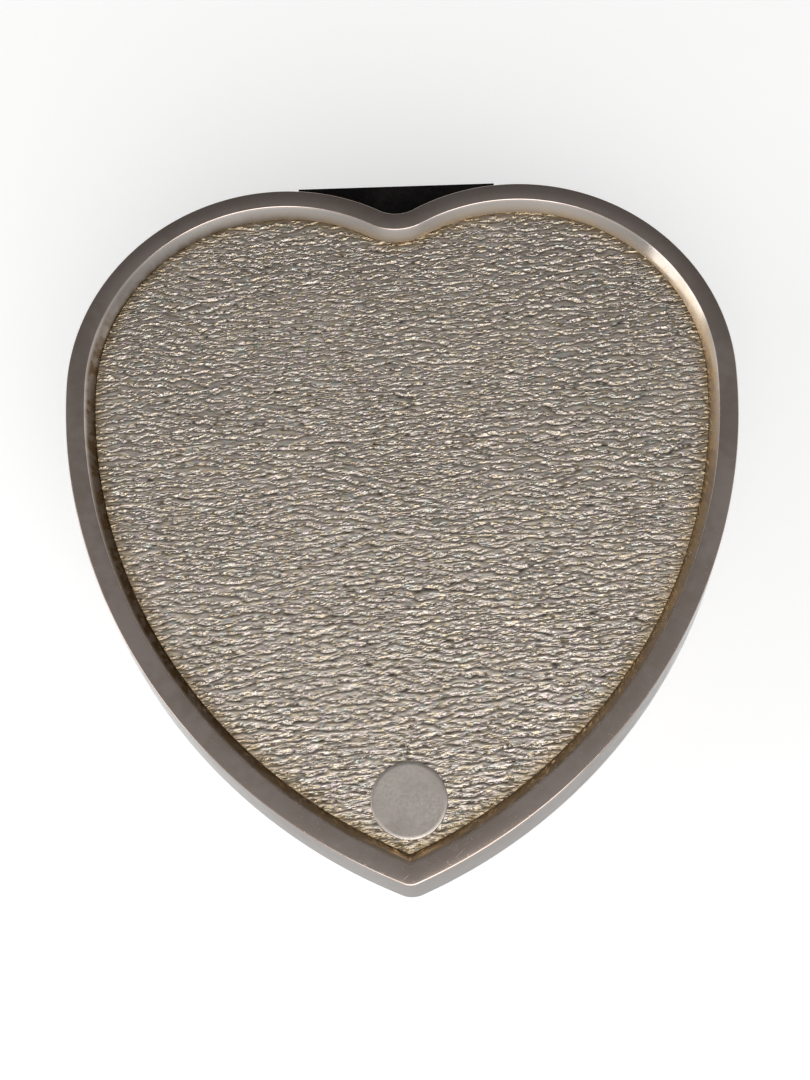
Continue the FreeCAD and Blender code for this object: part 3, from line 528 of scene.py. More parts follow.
def pile_cloth(name, dark, pale, brushed, scale, relief):
    material, tree, shader, place = new_material(name)
    cloth = effect(tree, pile, {"Place": place, "Scale": scale})
    fibres = tinted(tree, cloth["Fibre"], dark, pale)
    lie = sums(tree, "MULTIPLY", cloth["Brushed"], NAP_SHARE)
    colour = tinted(tree, lie, fibres, brushed)
    roughness = ramp(tree, cloth["Brushed"], 0.0, 1.0, PILE_ROUGH, PILE_BRUSHED_ROUGH)
    finish_surface(tree, shader, colour, roughness, cloth["Height"], relief)
    shader.inputs["Sheen Weight"].default_value = PILE_SHEEN
    shader.inputs["Sheen Roughness"].default_value = PILE_SHEEN_ROUGH
    shader.inputs["Sheen Tint"].default_value = pale
    return material


felt = pile_cloth("charcoal_felt", FELT, FELT_PALE, FELT_PALE, scale=2600.0, relief=0.00025)
foot_felt = heart_ring("foot_felt", eased_section([
    (base_foot - FELT_MARGIN, felt_low.z, FELT_EASE),
    (base_foot - FELT_MARGIN, felt_high.z, FELT_EASE),
    (base_inner + FELT_MARGIN, felt_high.z, FELT_EASE),
    (base_inner + FELT_MARGIN, felt_low.z, FELT_EASE),
]))
stand_for(foot_felt, "felt_ring", felt)

# Movement bed: a die-cast zinc plate with the comb block and the arbor boss.
# The spring's bridge stands over it on two steel posts, and both castings keep the skin of the die.
# Three screws hold the bed to the bottom plate from below.
CAST_EASE = 0.00022
POST_EASE = 0.00015
ZINC = (0.50, 0.50, 0.515, 1)
ZINC_DULL = (0.37, 0.37, 0.385, 1)
STEEL = (0.56, 0.56, 0.575, 1)
STEEL_DULL = (0.40, 0.39, 0.385, 1)

cast_zinc = worked_metal(
    "cast_zinc", ZINC, ZINC_DULL, lay=(1500.0, 1500.0, 1500.0), rough=0.42, relief=0.00002)
ground_steel = worked_metal(
    "ground_steel", STEEL, STEEL_DULL, lay=(600.0, 5200.0, 5200.0), rough=0.26, relief=0.000004)
finished("movement_bedplate", CAST_EASE, cast_zinc)
finished("housing_bridge", CAST_EASE, cast_zinc)
finished("bridge_posts", POST_EASE, ground_steel)
for screws in ("movement_screws", "bridge_screws"):
    finished(screws, SCREW_EASE, nickel)

# Spring housing: a drawn brass drum under the bridge, with a pressed-in cap.
# A coiled steel mainspring lies inside, and the drum was turned to finish, so fine rings run round it.
HOUSING_EASE = 0.0005
CAP_EASE = 0.0001
SPRING_EASE = 0.00004
BRASS = (0.72, 0.53, 0.24, 1)
BRASS_DULL = (0.61, 0.435, 0.19, 1)

turned_brass = worked_metal(
    "turned_brass", BRASS, BRASS_DULL, lay=(420.0, 420.0, 5600.0), rough=0.2, relief=0.000004)
finished("spring_housing", HOUSING_EASE, turned_brass)
finished("housing_cap", CAP_EASE, turned_brass)
finished("mainspring", SPRING_EASE, ground_steel)

# Winding key and arbor: a pressed key with two eyed wings, brass plated.
# It is screwed on a steel arbor that runs up through the bed and the drive gear.
# A collar on the arbor keeps it from lifting.
KEY_EASE = 0.0004
ARBOR_EASE = 0.00015
KEY_PLATE = (0.74, 0.60, 0.33, 1)
KEY_WORN = (0.50, 0.41, 0.27, 1)

plated_key = worked_metal(
    "plated_key", KEY_PLATE, KEY_WORN, lay=(900.0, 900.0, 900.0), rough=0.2, relief=0.000008)
finished("winding_key", KEY_EASE, plated_key)
finished("winding_arbor", ARBOR_EASE, ground_steel)
finished("arbor_collar", ARBOR_EASE, ground_steel)

# Gear train: a crown gear on the winding arbor, and a pinion and a large gear on the barrel's own arbor.
# All three are cut from brass, and a steel bearing screwed to the bed carries the barrel's arbor.
# The pin barrel is a brass tube set with 54 short steel pins, one row for each tooth of the comb.
TOOTH_EASE = 0.00005
BARREL_EASE = 0.00025
PIN_EASE = 0.00006

cut_brass = worked_metal(
    "cut_brass", BRASS, BRASS_DULL, lay=(2600.0, 2600.0, 2600.0), rough=0.22, relief=0.000004)
barrel_brass = worked_metal(
    "barrel_brass", BRASS, BRASS_DULL, lay=(5600.0, 420.0, 420.0), rough=0.2, relief=0.000004)
for gear in ("drive_gear", "cylinder_pinion", "cylinder_gear"):
    finished(gear, TOOTH_EASE, cut_brass)
finished("cylinder", BARREL_EASE, barrel_brass)
finished("cylinder_pins", PIN_EASE, ground_steel)
finished("cylinder_arbor", ARBOR_EASE, ground_steel)
finished("arbor_bearing", CAST_EASE, ground_steel)
finished("bearing_screws", SCREW_EASE, nickel)

# Comb: eighteen tuned teeth, sawn from one hardened steel plate and ground bright.
# Two screws clamp its thick back edge on the bed's block, with the tips beside the barrel.
COMB_EASE = 0.00006

comb_steel = worked_metal(
    "comb_steel", STEEL, STEEL_DULL, lay=(5200.0, 600.0, 5200.0), rough=0.18, relief=0.000003)
finished("comb", COMB_EASE, comb_steel)
finished("comb_screws", SCREW_EASE, nickel)

# Governor: a zinc frame that holds the small brass wheel, the two-start worm that it drives and the air fly.
# The worm is milled on a steel spindle, and the moulded white fly is pressed over its upper end.
WORM_TURN_R = 0.0008
WORM_CORE_R = 0.00062
WORM_LEAD = 0.0018850
WORM_STARTS = 2
WORM_LENGTH = 0.006
SPINDLE_R = 0.0005
SPINDLE_EASE = 0.0001
WORM_ROUND = 48
WORM_RISE = 60
THREAD_STEEP = 0.9
END_DOT = 0.02
FLY_EASE = 0.00012
NYLON = (0.80, 0.80, 0.77, 1)
NYLON_AGED = (0.70, 0.68, 0.60, 1)
NYLON_LAY = (1800.0, 1800.0, 1800.0)
NYLON_ROUGH = 0.4
NYLON_AGED_ROUGH = 0.55
NYLON_RELIEF = 0.00001

worm_low, worm_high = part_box("governor_worm")
barrel_low, barrel_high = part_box("cylinder")
worm_middle = (worm_low + worm_high) / 2
worm_z = (barrel_low.z + barrel_high.z) / 2


def capped(rings):
    """Faces of a solid drawn as rings of points, with a flat face at each end."""
    count = len(rings[0])
    last = (len(rings) - 1) * count
    return [tuple(range(count)), tuple(range(last, last + count)), *band_faces(rings)]


def level_ring(middle, radius, height, turns):
    """Points round an upright axis, all at one height."""
    heights = np.full(len(turns), height)
    return np.column_stack((middle.x + radius * np.cos(turns), middle.y + radius * np.sin(turns), heights))


def worm_spindle():
    """The spindle, drawn as rings of points whose radius follows the thread."""
    low = worm_z - WORM_LENGTH / 2
    high = worm_z + WORM_LENGTH / 2
    heights = [worm_low.z, worm_low.z, worm_low.z + SPINDLE_EASE, low - SPINDLE_EASE]
    heights += np.linspace(low, high, WORM_RISE).tolist()
    heights += [high + SPINDLE_EASE, worm_high.z - SPINDLE_EASE, worm_high.z, worm_high.z]
    turns = np.linspace(0, 2 * math.pi, WORM_ROUND, endpoint=False)
    rings = []
    for i, height in enumerate(heights):
        radius = np.full(WORM_ROUND, SPINDLE_R)
        if low <= height <= high:
            wave = np.cos(WORM_STARTS * (turns - 2 * math.pi * height / WORM_LEAD / WORM_STARTS))
            thread = np.clip(0.5 + THREAD_STEEP * wave, 0, 1)
            ends = min(1, (height - low) / WORM_TURN_R, (high - height) / WORM_TURN_R)
            crest = WORM_CORE_R + (WORM_TURN_R - WORM_CORE_R) * thread
            radius = SPINDLE_R + (crest - SPINDLE_R) * ends
        if i in (0, len(heights) - 1):
            radius = radius * END_DOT
        if i in (1, len(heights) - 2):
            radius = radius - SPINDLE_EASE
        rings.append(level_ring(worm_middle, radius, height, turns))
    return piece_from("worm_spindle", np.concatenate(rings), capped(rings))


def moulded_nylon():
    material, tree, shader, place = new_material("moulded_nylon")
    skin = effect(tree, metal_grain, {"Place": place, "Lay": NYLON_LAY})
    colour = tinted(tree, skin["Stain"], NYLON, NYLON_AGED)
    roughness = ramp(tree, skin["Stain"], 0.0, 1.0, NYLON_ROUGH, NYLON_AGED_ROUGH)
    finish_surface(tree, shader, colour, roughness, skin["Height"], NYLON_RELIEF)
    return material


finished("governor_frame", CAST_EASE, cast_zinc)
finished("governor_screws", SCREW_EASE, nickel)
finished("governor_arbor", TOOTH_EASE, ground_steel)
finished("governor_wheel", TOOTH_EASE, cut_brass)
stand_for(worm_spindle(), "governor_worm", ground_steel)
finished("air_fly", FLY_EASE, moulded_nylon())

# Stop lever: a bent steel wire on a pivot in a small folded bracket, screwed to the bottom plate.
# Its long leg reaches up through the deck to the lid's lining.
# Its short leg holds the fly while the lid is shut.
WIRE_EASE = 0.00012
BRACKET_EASE = 0.00015

finished("stop_lever", WIRE_EASE, ground_steel)
finished("stop_bracket", BRACKET_EASE, plated_sheet)
finished("stop_pivot", WIRE_EASE, nickel)
finished("stop_bracket_screw", SCREW_EASE, nickel)

# Velvet deck and trinket well: card covered in burgundy velvet.
# The well is glued up under the deck's front opening, and the pile lies in brushed patches.
# The velvet is folded over the cut edges, so they are round and soft.
DECK_FOLD = 0.00055
WELL_FOLD = 0.0007
VELVET = (0.115, 0.006, 0.014, 1)
VELVET_PALE = (0.27, 0.022, 0.045, 1)
VELVET_BRUSHED = (0.36, 0.035, 0.065, 1)

velvet = pile_cloth("burgundy_velvet", VELVET, VELVET_PALE, VELVET_BRUSHED, scale=3200.0, relief=0.00018)
finished("tray_deck", DECK_FOLD, velvet)
finished("trinket_well", WELL_FOLD, velvet)

# Clear cover: a sheet of acrylic over the movement, so that it can be watched as it plays.
# It is sawn out, its edges are polished, and it rests on the velvet deck.
COVER_EASE = 0.00025
ACRYLIC = (0.97, 0.985, 0.98, 1)
ACRYLIC_IOR = 1.49
ACRYLIC_ALPHA = 0.3
ACRYLIC_WEAR = 0.35
ACRYLIC_ROUGH = 0.02
ACRYLIC_LINE_ROUGH = 0.1
DUST_SCALE = 1500.0
DUST_EDGES = (0.6, 0.75)
DUST_ROUGH = 0.05


def clear_acrylic():
    material, tree, shader, place = new_material("clear_acrylic")
    lines = effect(tree, hairlines, {"Place": place, "Amount": ACRYLIC_WEAR})["Mask"]
    dust = ramp(tree, noise(tree, place, DUST_SCALE, 3.0), *DUST_EDGES)
    dusty = sums(tree, "MULTIPLY_ADD", dust, DUST_ROUGH, ACRYLIC_ROUGH)
    roughness = sums(tree, "MULTIPLY_ADD", lines, ACRYLIC_LINE_ROUGH, dusty)
    tree.links.new(roughness, shader.inputs["Roughness"])
    shader.inputs["Base Color"].default_value = ACRYLIC
    shader.inputs["Transmission Weight"].default_value = 1.0
    shader.inputs["IOR"].default_value = ACRYLIC_IOR
    shader.inputs["Alpha"].default_value = ACRYLIC_ALPHA
    return material


finished("movement_cover", COVER_EASE, clear_acrylic())

# Hinge: two cast leaves that fill the cleft, one on the lid and one on the base, on a steel pin.
# Their near-black lacquer colour is painted shade for the dark cleft between the lobes; slotted screws hold
# them, and handling has rubbed the lacquer a little.
LEAF_EASE = 0.0003
SHADE_BLACK = (0.003, 0.0022, 0.0022, 1)
SHADE_BLACK_RUBBED = (0.016, 0.014, 0.013, 1)
LACQUER_WEAR = 0.5
LACQUER_CLOUDS = 160.0
LACQUER_CLOUD_SHARE = 0.4
LACQUER_ROUGH = (0.3, 0.42)
LACQUER_SKIN = 1400.0
LACQUER_SKIN_HEIGHT = 2.0
LACQUER_RELIEF = 0.000004
LACQUER_SHINE = 0.15


def painted_shade_lacquer():
    material, tree, shader, place = new_material("painted_shade_lacquer")
    lines = effect(tree, hairlines, {"Place": place, "Amount": LACQUER_WEAR})["Mask"]
    clouds = effect(tree, tarnish_clouds, {"Place": place, "Scale": LACQUER_CLOUDS})
    thinned = sums(tree, "MULTIPLY", clouds["Mask"], LACQUER_CLOUD_SHARE)
    rubbed = sums(tree, "MAXIMUM", thinned, lines)
    # Near-black colour: painted shade in the cleft, with a little rubbed wear.
    colour = tinted(tree, rubbed, SHADE_BLACK, SHADE_BLACK_RUBBED)
    roughness = ramp(tree, clouds["Mottle"], 0.0, 1.0, *LACQUER_ROUGH)
    skin = noise(tree, place, LACQUER_SKIN, 2.0)
    height = sums(tree, "MULTIPLY_ADD", skin, LACQUER_SKIN_HEIGHT, sums(tree, "MULTIPLY", lines, -1.0))
    finish_surface(tree, shader, colour, roughness, height, LACQUER_RELIEF)
    shader.inputs["Specular IOR Level"].default_value = LACQUER_SHINE
    return material


lacquer = painted_shade_lacquer()
finished("base_hinge_leaf", LEAF_EASE, lacquer)
finished("lid_hinge_leaf", LEAF_EASE, lacquer)
finished("hinge_pin", ARBOR_EASE, ground_steel)
for screws in ("base_hinge_screws", "lid_hinge_screws"):
    finished(screws, SCREW_EASE, nickel)

# Lid shell: a cast, plated and polished frame with a flat rim, a cove down to the panel and a flared skirt.
# The rim's edges are crisp, brown tarnish sits deep in the cove, and towards the tip a painted brown and
# gold reflection fills the cove.
# Inside, the wall at the cleft is relieved round the hinge's knuckles.
RIM_W = 0.0027
COVE_W = 0.0013
COVE_SAG = 0.00018
COVE_STEPS = 7
LID_WALL = 0.0026
RIM_CROWN = 0.00006
RIM_CROWN_SPAN = (0.3, 0.7)
RIM_EDGE_EASE = 0.0002
COVE_EDGE_EASE = 0.00016
SKIRT_EASE = 0.00035
KNUCKLE_ROOM_R = 0.0023
KNUCKLE_ROOM_X0 = 0.0050
KNUCKLE_ROOM_X1 = 0.0156
ROOM_ROUND = 48

panel_low, panel_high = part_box("lid_panel")
pin_low, pin_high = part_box("hinge_pin")
panel_edge = -RIM_W - COVE_W
rim_z = lid_high.z - RIM_CROWN


def lid_section():
    corners = [
        (LID_FLARE, lid_low.z, SKIRT_EASE),
        (0, rim_z, RIM_EDGE_EASE),
        (-RIM_W * RIM_CROWN_SPAN[0], lid_high.z, 0),
        (-RIM_W * RIM_CROWN_SPAN[1], lid_high.z, 0),
        (-RIM_W, rim_z, COVE_EDGE_EASE),
    ]
    for k in range(1, COVE_STEPS):
        share = k / COVE_STEPS
        sag = 4 * COVE_SAG * share * (1 - share)
        corners.append((-RIM_W - COVE_W * share - sag, rim_z - (rim_z - panel_high.z) * share - sag, 0))
    corners += [
        (panel_edge, panel_high.z, 0),
        (panel_edge, panel_low.z, 0),
        (-LID_WALL, panel_low.z, 0),
        (-LID_WALL, lid_low.z, SKIRT_EASE),
    ]
    return eased_section(corners)


def knuckle_room(x0, x1):
    pin = (pin_low + pin_high) / 2
    turns = np.linspace(0, 2 * math.pi, ROOM_ROUND, endpoint=False)
    y = pin.y + KNUCKLE_ROOM_R * np.cos(turns)
    z = pin.z + KNUCKLE_ROOM_R * np.sin(turns)
    rings = [np.column_stack((np.full(ROOM_ROUND, x), y, z)) for x in (x0, x1)]
    return piece_from("knuckle_room", np.concatenate(rings), capped(rings))


def take_out(piece, cutter):
    cut = piece.modifiers.new("cut", "BOOLEAN")
    cut.operation = "DIFFERENCE"
    cut.solver = "EXACT"
    cut.object = cutter
    apply_modifiers(piece)
    bpy.data.objects.remove(cutter)


lid_frame = heart_ring("lid_frame", lid_section())
for x0, x1 in ((-KNUCKLE_ROOM_X1, -KNUCKLE_ROOM_X0), (KNUCKLE_ROOM_X0, KNUCKLE_ROOM_X1)):
    take_out(lid_frame, knuckle_room(x0, x1))
lid_points = mesh_points(lid_frame.data)
lid_offset = offset_of(lid_points)[0]
in_cove = (lid_points[:, 2] > panel_high.z - COVE_SAG) & (lid_offset > 2 * panel_edge)
mark(lid_frame.data, "corner", in_cove * np.clip((-RIM_W - lid_offset) / COVE_W, 0, 1))
# Below the rim's edge the lid takes the darker skirt silver, painted shade.
mark(lid_frame.data, "skirt", lid_points[:, 2] < rim_z - RIM_EDGE_EASE)
lid_frame.data.set_sharp_from_angle(angle=SHARP)
stand_for(lid_frame, "lid_shell", polished_silver("lid_silver"))

# Bark panel: a thin silver sheet, cast with a bark relief and let into the lid's frame.
# Short flat scales lie across it, each ending in a rippled slope and a narrow groove, dark with tarnish and
# painted shade.
# It is warmer in tone than the rim, with faint gold, pink and green glints.
PANEL_GAP = 0.00005
CELL_X = 0.00045
CELL_Y = 0.000156
FIELD = 0.1024
FIELD_CELLS = 1024
BARK_SEED = 7
SCALE_LENGTH = 0.0022
SCALE_PITCH = 0.0012
SCALE_PITCH_FINE = 0.00092
PITCH_SPREAD = 0.4
FLAT_SHARE = 0.5
SLOPE_SHARE = 0.84
FLAT_HIGH = 0.0001
FLAT_LOW = 0.00006
GROOVE_LOW = -0.0002
SLOPE_AT = 0.67
SLOPE_HALF = 0.2
GROOVE_AT = 0.9
GROOVE_HALF = 0.14
FIRM_WAVE = 0.25
RIPPLE = 0.00009
RIPPLE_LENGTHS = (0.0006, 0.0004)
RIPPLE_ON_FLATS = 0.12
MEANDER = 0.0003
MEANDER_LENGTHS = (0.022, 0.03)
JITTER = 0.00013
JITTER_LENGTHS = (0.0011, 0.0009)
PATCH_LENGTHS = (0.02, 0.012)
PATCH_STEEP = 3
BORDER_FADE = 0.0006
BORDER_W = 0.003
PANEL_SHARP = math.radians(75)
BARK = (0.66, 0.585, 0.515, 1)
BARK_GOLD = (0.72, 0.605, 0.44, 1)
BARK_PINK = (0.68, 0.575, 0.555, 1)
BARK_GREEN = (0.615, 0.62, 0.56, 1)
# BARK_DARK: tarnish and painted shade for the grooves
BARK_DARK = (0.075, 0.06, 0.044, 1)
BORDER_GOLD = (0.46, 0.335, 0.17, 1)
GLINT_SCALE = (1100.0, 1500.0, 1100.0)
GLINTS = ((BARK_GOLD, 1.1, 0.5, 0.62), (BARK_PINK, 0.85, 0.55, 0.68), (BARK_GREEN, 0.75, 0.57, 0.7))
GROOVE_SHARE = 0.95
BORDER_SHARE = 0.7
BARK_CLOUDS = 45.0
BARK_ROUGH = 0.42
BARK_CLOUD_ROUGH = 0.08
BARK_SLOPE_ROUGH = -0.19
BARK_GROOVE_ROUGH = 0.15
PEBBLE_SCALE = 1.9
PEBBLE_ON_FLATS = 0.4
PEBBLE_ON_SLOPES = 2.0
BARK_BUMP = 0.00016

draws = np.random.default_rng(BARK_SEED)
across = np.fft.fftfreq(FIELD_CELLS, FIELD / FIELD_CELLS)
waves_x, waves_y = np.meshgrid(across, across)


def soft_field(length_x, length_y):
    """Smooth noise that varies over about those lengths, with a spread of one."""
    raw = np.fft.fft2(draws.standard_normal((FIELD_CELLS, FIELD_CELLS)))
    shade = np.exp(-2 * ((waves_x * length_x) ** 2 + (waves_y * length_y) ** 2))
    smooth = np.real(np.fft.ifft2(raw * shade))
    return smooth / smooth.std()


def scale_field(pitch):
    """Rows of scales as a complex wave: its angle runs once round from each groove to the next."""
    raw = np.fft.fft2(draws.standard_normal((FIELD_CELLS, FIELD_CELLS)))
    band = np.exp(-((waves_y * pitch - 1) / PITCH_SPREAD) ** 2 - (waves_x * SCALE_LENGTH) ** 2)
    wave = np.fft.ifft2(raw * band)
    return wave / np.abs(wave).mean()


def sampled(field, places):
    """The field's value at each place, between its nearest cells."""
    at = (places / FIELD + 0.5) * FIELD_CELLS
    cell = np.floor(at).astype(int)
    part = at - cell
    x0, y0 = cell[:, 0] % FIELD_CELLS, cell[:, 1] % FIELD_CELLS
    x1, y1 = (x0 + 1) % FIELD_CELLS, (y0 + 1) % FIELD_CELLS
    low = field[y0, x0] * (1 - part[:, 0]) + field[y0, x1] * part[:, 0]
    high = field[y1, x0] * (1 - part[:, 0]) + field[y1, x1] * part[:, 0]
    return low * (1 - part[:, 1]) + high * part[:, 1]


def panel_grid():
    """Grid cells inside the panel's edge, with the outermost points drawn onto the edge."""
    edge = panel_edge - PANEL_GAP
    columns = np.arange(panel_low.x - 2 * CELL_X, panel_high.x + 2 * CELL_X, CELL_X)
    rows = np.arange(panel_low.y - 4 * CELL_X, panel_high.y + 2 * CELL_X, CELL_Y)
    x, y = np.meshgrid(columns, rows)
    places = np.column_stack((x.ravel(), y.ravel()))
    number = np.arange(len(places)).reshape(x.shape)
    corners = (number[:-1, :-1], number[:-1, 1:], number[1:, 1:], number[1:, :-1])
    quads = np.stack(corners, axis=-1).reshape(-1, 4)
    inside = offset_of(places[quads].mean(axis=1))[0] < edge
    kept = quads[inside]
    outer = np.intersect1d(kept, quads[~inside])
    gap, way = offset_of(places[outer])
    places[outer] -= way * (gap - edge)[:, None]
    used, renumbered = np.unique(kept, return_inverse=True)
    return places[used], renumbered.reshape(-1, 4)


def bark_relief(places):
    """Height of the bark, and how far each point lies down in a groove or on a slope."""
    warped = places.copy()
    warped[:, 1] += MEANDER * sampled(soft_field(*MEANDER_LENGTHS), places)
    warped[:, 1] += JITTER * sampled(soft_field(*JITTER_LENGTHS), places)
    patch = 1 / (1 + np.exp(-PATCH_STEEP * sampled(soft_field(*PATCH_LENGTHS), places)))
    wave = sampled(scale_field(SCALE_PITCH), warped) * patch
    wave += sampled(scale_field(SCALE_PITCH_FINE), warped) * (1 - patch)
    turn = (-np.angle(wave) / (2 * math.pi)) % 1.0
    steps = [0, FLAT_SHARE, SLOPE_SHARE, 1]
    height = np.interp(turn, steps, [FLAT_HIGH, FLAT_LOW, GROOVE_LOW, FLAT_HIGH])
    slope = np.clip(1 - np.abs(turn - SLOPE_AT) / SLOPE_HALF, 0, 1)
    groove = np.clip(1 - np.abs(turn - GROOVE_AT) / GROOVE_HALF, 0, 1)
    firm = np.clip(np.abs(wave) / FIRM_WAVE, 0, 1)
    ripple = sampled(soft_field(*RIPPLE_LENGTHS), places)
    height = height * firm + RIPPLE * ripple * (RIPPLE_ON_FLATS + slope)
    return height, groove * firm, slope * firm


def bark_panel():
    places, quads = panel_grid()
    height, groove, slope = bark_relief(places)
    inwards = panel_edge - PANEL_GAP - offset_of(places)[0]
    height *= np.clip(inwards / BORDER_FADE, 0, 1)
    top = np.column_stack((places, panel_high.z + height))
    mesh = bpy.data.meshes.new("bark_panel")
    mesh.from_pydata(top.tolist(), [], quads.tolist())
    mark(mesh, "groove", groove)
    mark(mesh, "slope", slope)
    mark(mesh, "border", np.clip(1 - inwards / BORDER_W, 0, 1))
    work = bmesh.new()
    work.from_mesh(mesh)
    rim = [edge for edge in work.edges if edge.is_boundary]
    for part in bmesh.ops.extrude_edge_only(work, edges=rim)["geom"]:
        if isinstance(part, bmesh.types.BMVert):
            part.co.z = panel_low.z
    bmesh.ops.contextual_create(work, geom=[edge for edge in work.edges if edge.is_boundary])
    bmesh.ops.recalc_face_normals(work, faces=work.faces)
    work.to_mesh(mesh)
    work.free()
    mesh.shade_smooth()
    mesh.set_sharp_from_angle(angle=PANEL_SHARP)
    return new_piece("bark_panel", mesh)


def bark_silver():
    material, tree, shader, place = new_material("bark_silver")
    groove = marked(tree, "groove")
    slope = marked(tree, "slope")
    border = marked(tree, "border")
    clouds = effect(tree, tarnish_clouds, {"Place": place, "Scale": BARK_CLOUDS})
    glint_place = add(tree, "ShaderNodeMapping", {"Vector": place, "Scale": GLINT_SCALE}).outputs[0]
    glinting = BARK
    for tone, scale, low, high in GLINTS:
        spots = ramp(tree, noise(tree, glint_place, scale, 2.0), low, high)
        glinting = tinted(tree, spots, glinting, tone)
    # Grooves go near black: tarnish and painted shade in the creases.
    worked = tinted(tree, sums(tree, "MULTIPLY", groove, GROOVE_SHARE), glinting, BARK_DARK)
    edge = sums(tree, "MULTIPLY", sums(tree, "MULTIPLY", border, border), BORDER_SHARE)
    colour = tinted(tree, edge, worked, BORDER_GOLD)
    hazed = sums(tree, "MULTIPLY_ADD", clouds["Mask"], BARK_CLOUD_ROUGH, BARK_ROUGH)
    bright = sums(tree, "MULTIPLY_ADD", slope, BARK_SLOPE_ROUGH, hazed)
    roughness = sums(tree, "MULTIPLY_ADD", groove, BARK_GROOVE_ROUGH, bright)
    pebbles = noise(tree, glint_place, PEBBLE_SCALE, 2.0)
    strength = sums(tree, "MULTIPLY_ADD", slope, PEBBLE_ON_SLOPES, PEBBLE_ON_FLATS)
    height = sums(tree, "MULTIPLY", pebbles, strength)
    finish_surface(tree, shader, colour, roughness, height, BARK_BUMP)
    shader.inputs["Metallic"].default_value = 1.0
    return material


stand_for(bark_panel(), "lid_panel", bark_silver())

# Disc: a small blank disc of silver soldered on the panel near the tip, with a turned edge and a satin face.
# Handling has left fine scratches and a dull bloom on it.
DISC_ROUND = 96
DISC_EASE = 0.00014
DISC_DISH = 0.00005
DISC_SILVER = (0.60, 0.545, 0.495, 1)
DISC_BLOOM = (0.52, 0.465, 0.42, 1)
DISC_SEAT = 0.0002
DISC_ROLL = 0.3
DISC_BORDER = 4
DISC_BORDER_DISH = 0.2
DISC_HUB = 0.05
DISC_WEAR = 0.4
DISC_CLOUDS = 260.0
DISC_ROUGH = 0.36
DISC_MOTTLE_ROUGH = 0.08
DISC_LINE_ROUGH = 0.1
SATIN_SCALE = 6000.0
SATIN_HEIGHT = 1.5
SATIN_RELIEF = 0.000003

disc_low, disc_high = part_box("initial_disc")


def initial_disc():
    middle = (disc_low + disc_high) / 2
    reach = (disc_high.x - disc_low.x) / 2
    section = [
        (reach, disc_low.z - DISC_SEAT),
        (reach, disc_high.z - DISC_EASE),
        (reach - DISC_ROLL * DISC_EASE, disc_high.z - DISC_ROLL * DISC_EASE),
        (reach - DISC_EASE, disc_high.z),
        (reach - DISC_BORDER * DISC_EASE, disc_high.z - DISC_BORDER_DISH * DISC_DISH),
        (0.5 * reach, disc_high.z - DISC_DISH),
        (DISC_HUB * reach, disc_high.z - DISC_DISH),
    ]
    turns = np.linspace(0, 2 * math.pi, DISC_ROUND, endpoint=False)
    rings = [level_ring(middle, radius, height, turns) for radius, height in section]
    return piece_from("blank_disc", np.concatenate(rings), capped(rings))


def satin_silver():
    material, tree, shader, place = new_material("satin_silver")
    lines = effect(tree, hairlines, {"Place": place, "Amount": DISC_WEAR})["Mask"]
    clouds = effect(tree, tarnish_clouds, {"Place": place, "Scale": DISC_CLOUDS})
    colour = tinted(tree, clouds["Mask"], DISC_SILVER, DISC_BLOOM)
    bloomed = sums(tree, "MULTIPLY_ADD", clouds["Mottle"], DISC_MOTTLE_ROUGH, DISC_ROUGH)
    roughness = sums(tree, "MULTIPLY_ADD", lines, DISC_LINE_ROUGH, bloomed)
    satin = noise(tree, place, SATIN_SCALE, 2.0)
    height = sums(tree, "MULTIPLY_ADD", satin, SATIN_HEIGHT, sums(tree, "MULTIPLY", lines, -1.0))
    finish_surface(tree, shader, colour, roughness, height, SATIN_RELIEF)
    shader.inputs["Metallic"].default_value = 1.0
    return material


stand_for(initial_disc(), "initial_disc", satin_silver())

# Lid plate and lining: a plated backing sheet behind the panel, and a thin wadded pad in the same velvet.
# The pad is glued up into the lid, with its velvet drawn in round a card.
# So its edge is puckered, and its face is crowned.
LINING_GAP = 0.0003
PAD_RINGS = 26
PAD_SHOULDER = 0.0055
PAD_RISE = 0.0006
PAD_PUCKER = 0.00016
PUCKERS = 85
PUCKER_REACH = 1.6
PAD_CENTRE = 0.35
PAD_CROWDING = 1.35

pad_low, pad_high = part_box("lid_lining")


def velvet_pad():
    outer = heart(-LID_WALL - LINING_GAP)
    count = len(outer)
    middle = np.array((0, lobe_y * PAD_CENTRE))
    pucker = np.sin(np.linspace(0, 2 * math.pi * PUCKERS, count)) * PAD_PUCKER
    rings = [np.insert(outer, 2, pad_high.z, axis=1)]
    for i in range(PAD_RINGS):
        share = (i / PAD_RINGS) ** PAD_CROWDING
        ring = outer * (1 - share) + middle * share
        inwards = np.linalg.norm(ring - outer, axis=1)
        crown = np.sqrt(1 - np.clip(1 - inwards / PAD_SHOULDER, 0, 1) ** 2)
        edge_z = pad_high.z - PAD_RISE
        z = edge_z + (pad_low.z - edge_z) * crown
        z += np.abs(pucker) * np.clip(1 - inwards / (PUCKER_REACH * PAD_SHOULDER), 0, 1)
        rings.append(np.column_stack((ring, np.clip(z, pad_low.z, pad_high.z))))
    last = (len(rings) - 1) * count
    faces = [tuple(range(count)), *band_faces(rings)]
    faces += [(last + k, last + (k + 1) % count, last + count) for k in range(count)]
    points = np.vstack((np.concatenate(rings), (*middle, pad_low.z)))
    return piece_from("velvet_pad", points, faces)


finished("lid_plate", SHEET_EASE, plated_sheet)
lid_pad = velvet_pad()
stand_for(lid_pad, "lid_lining", velvet)

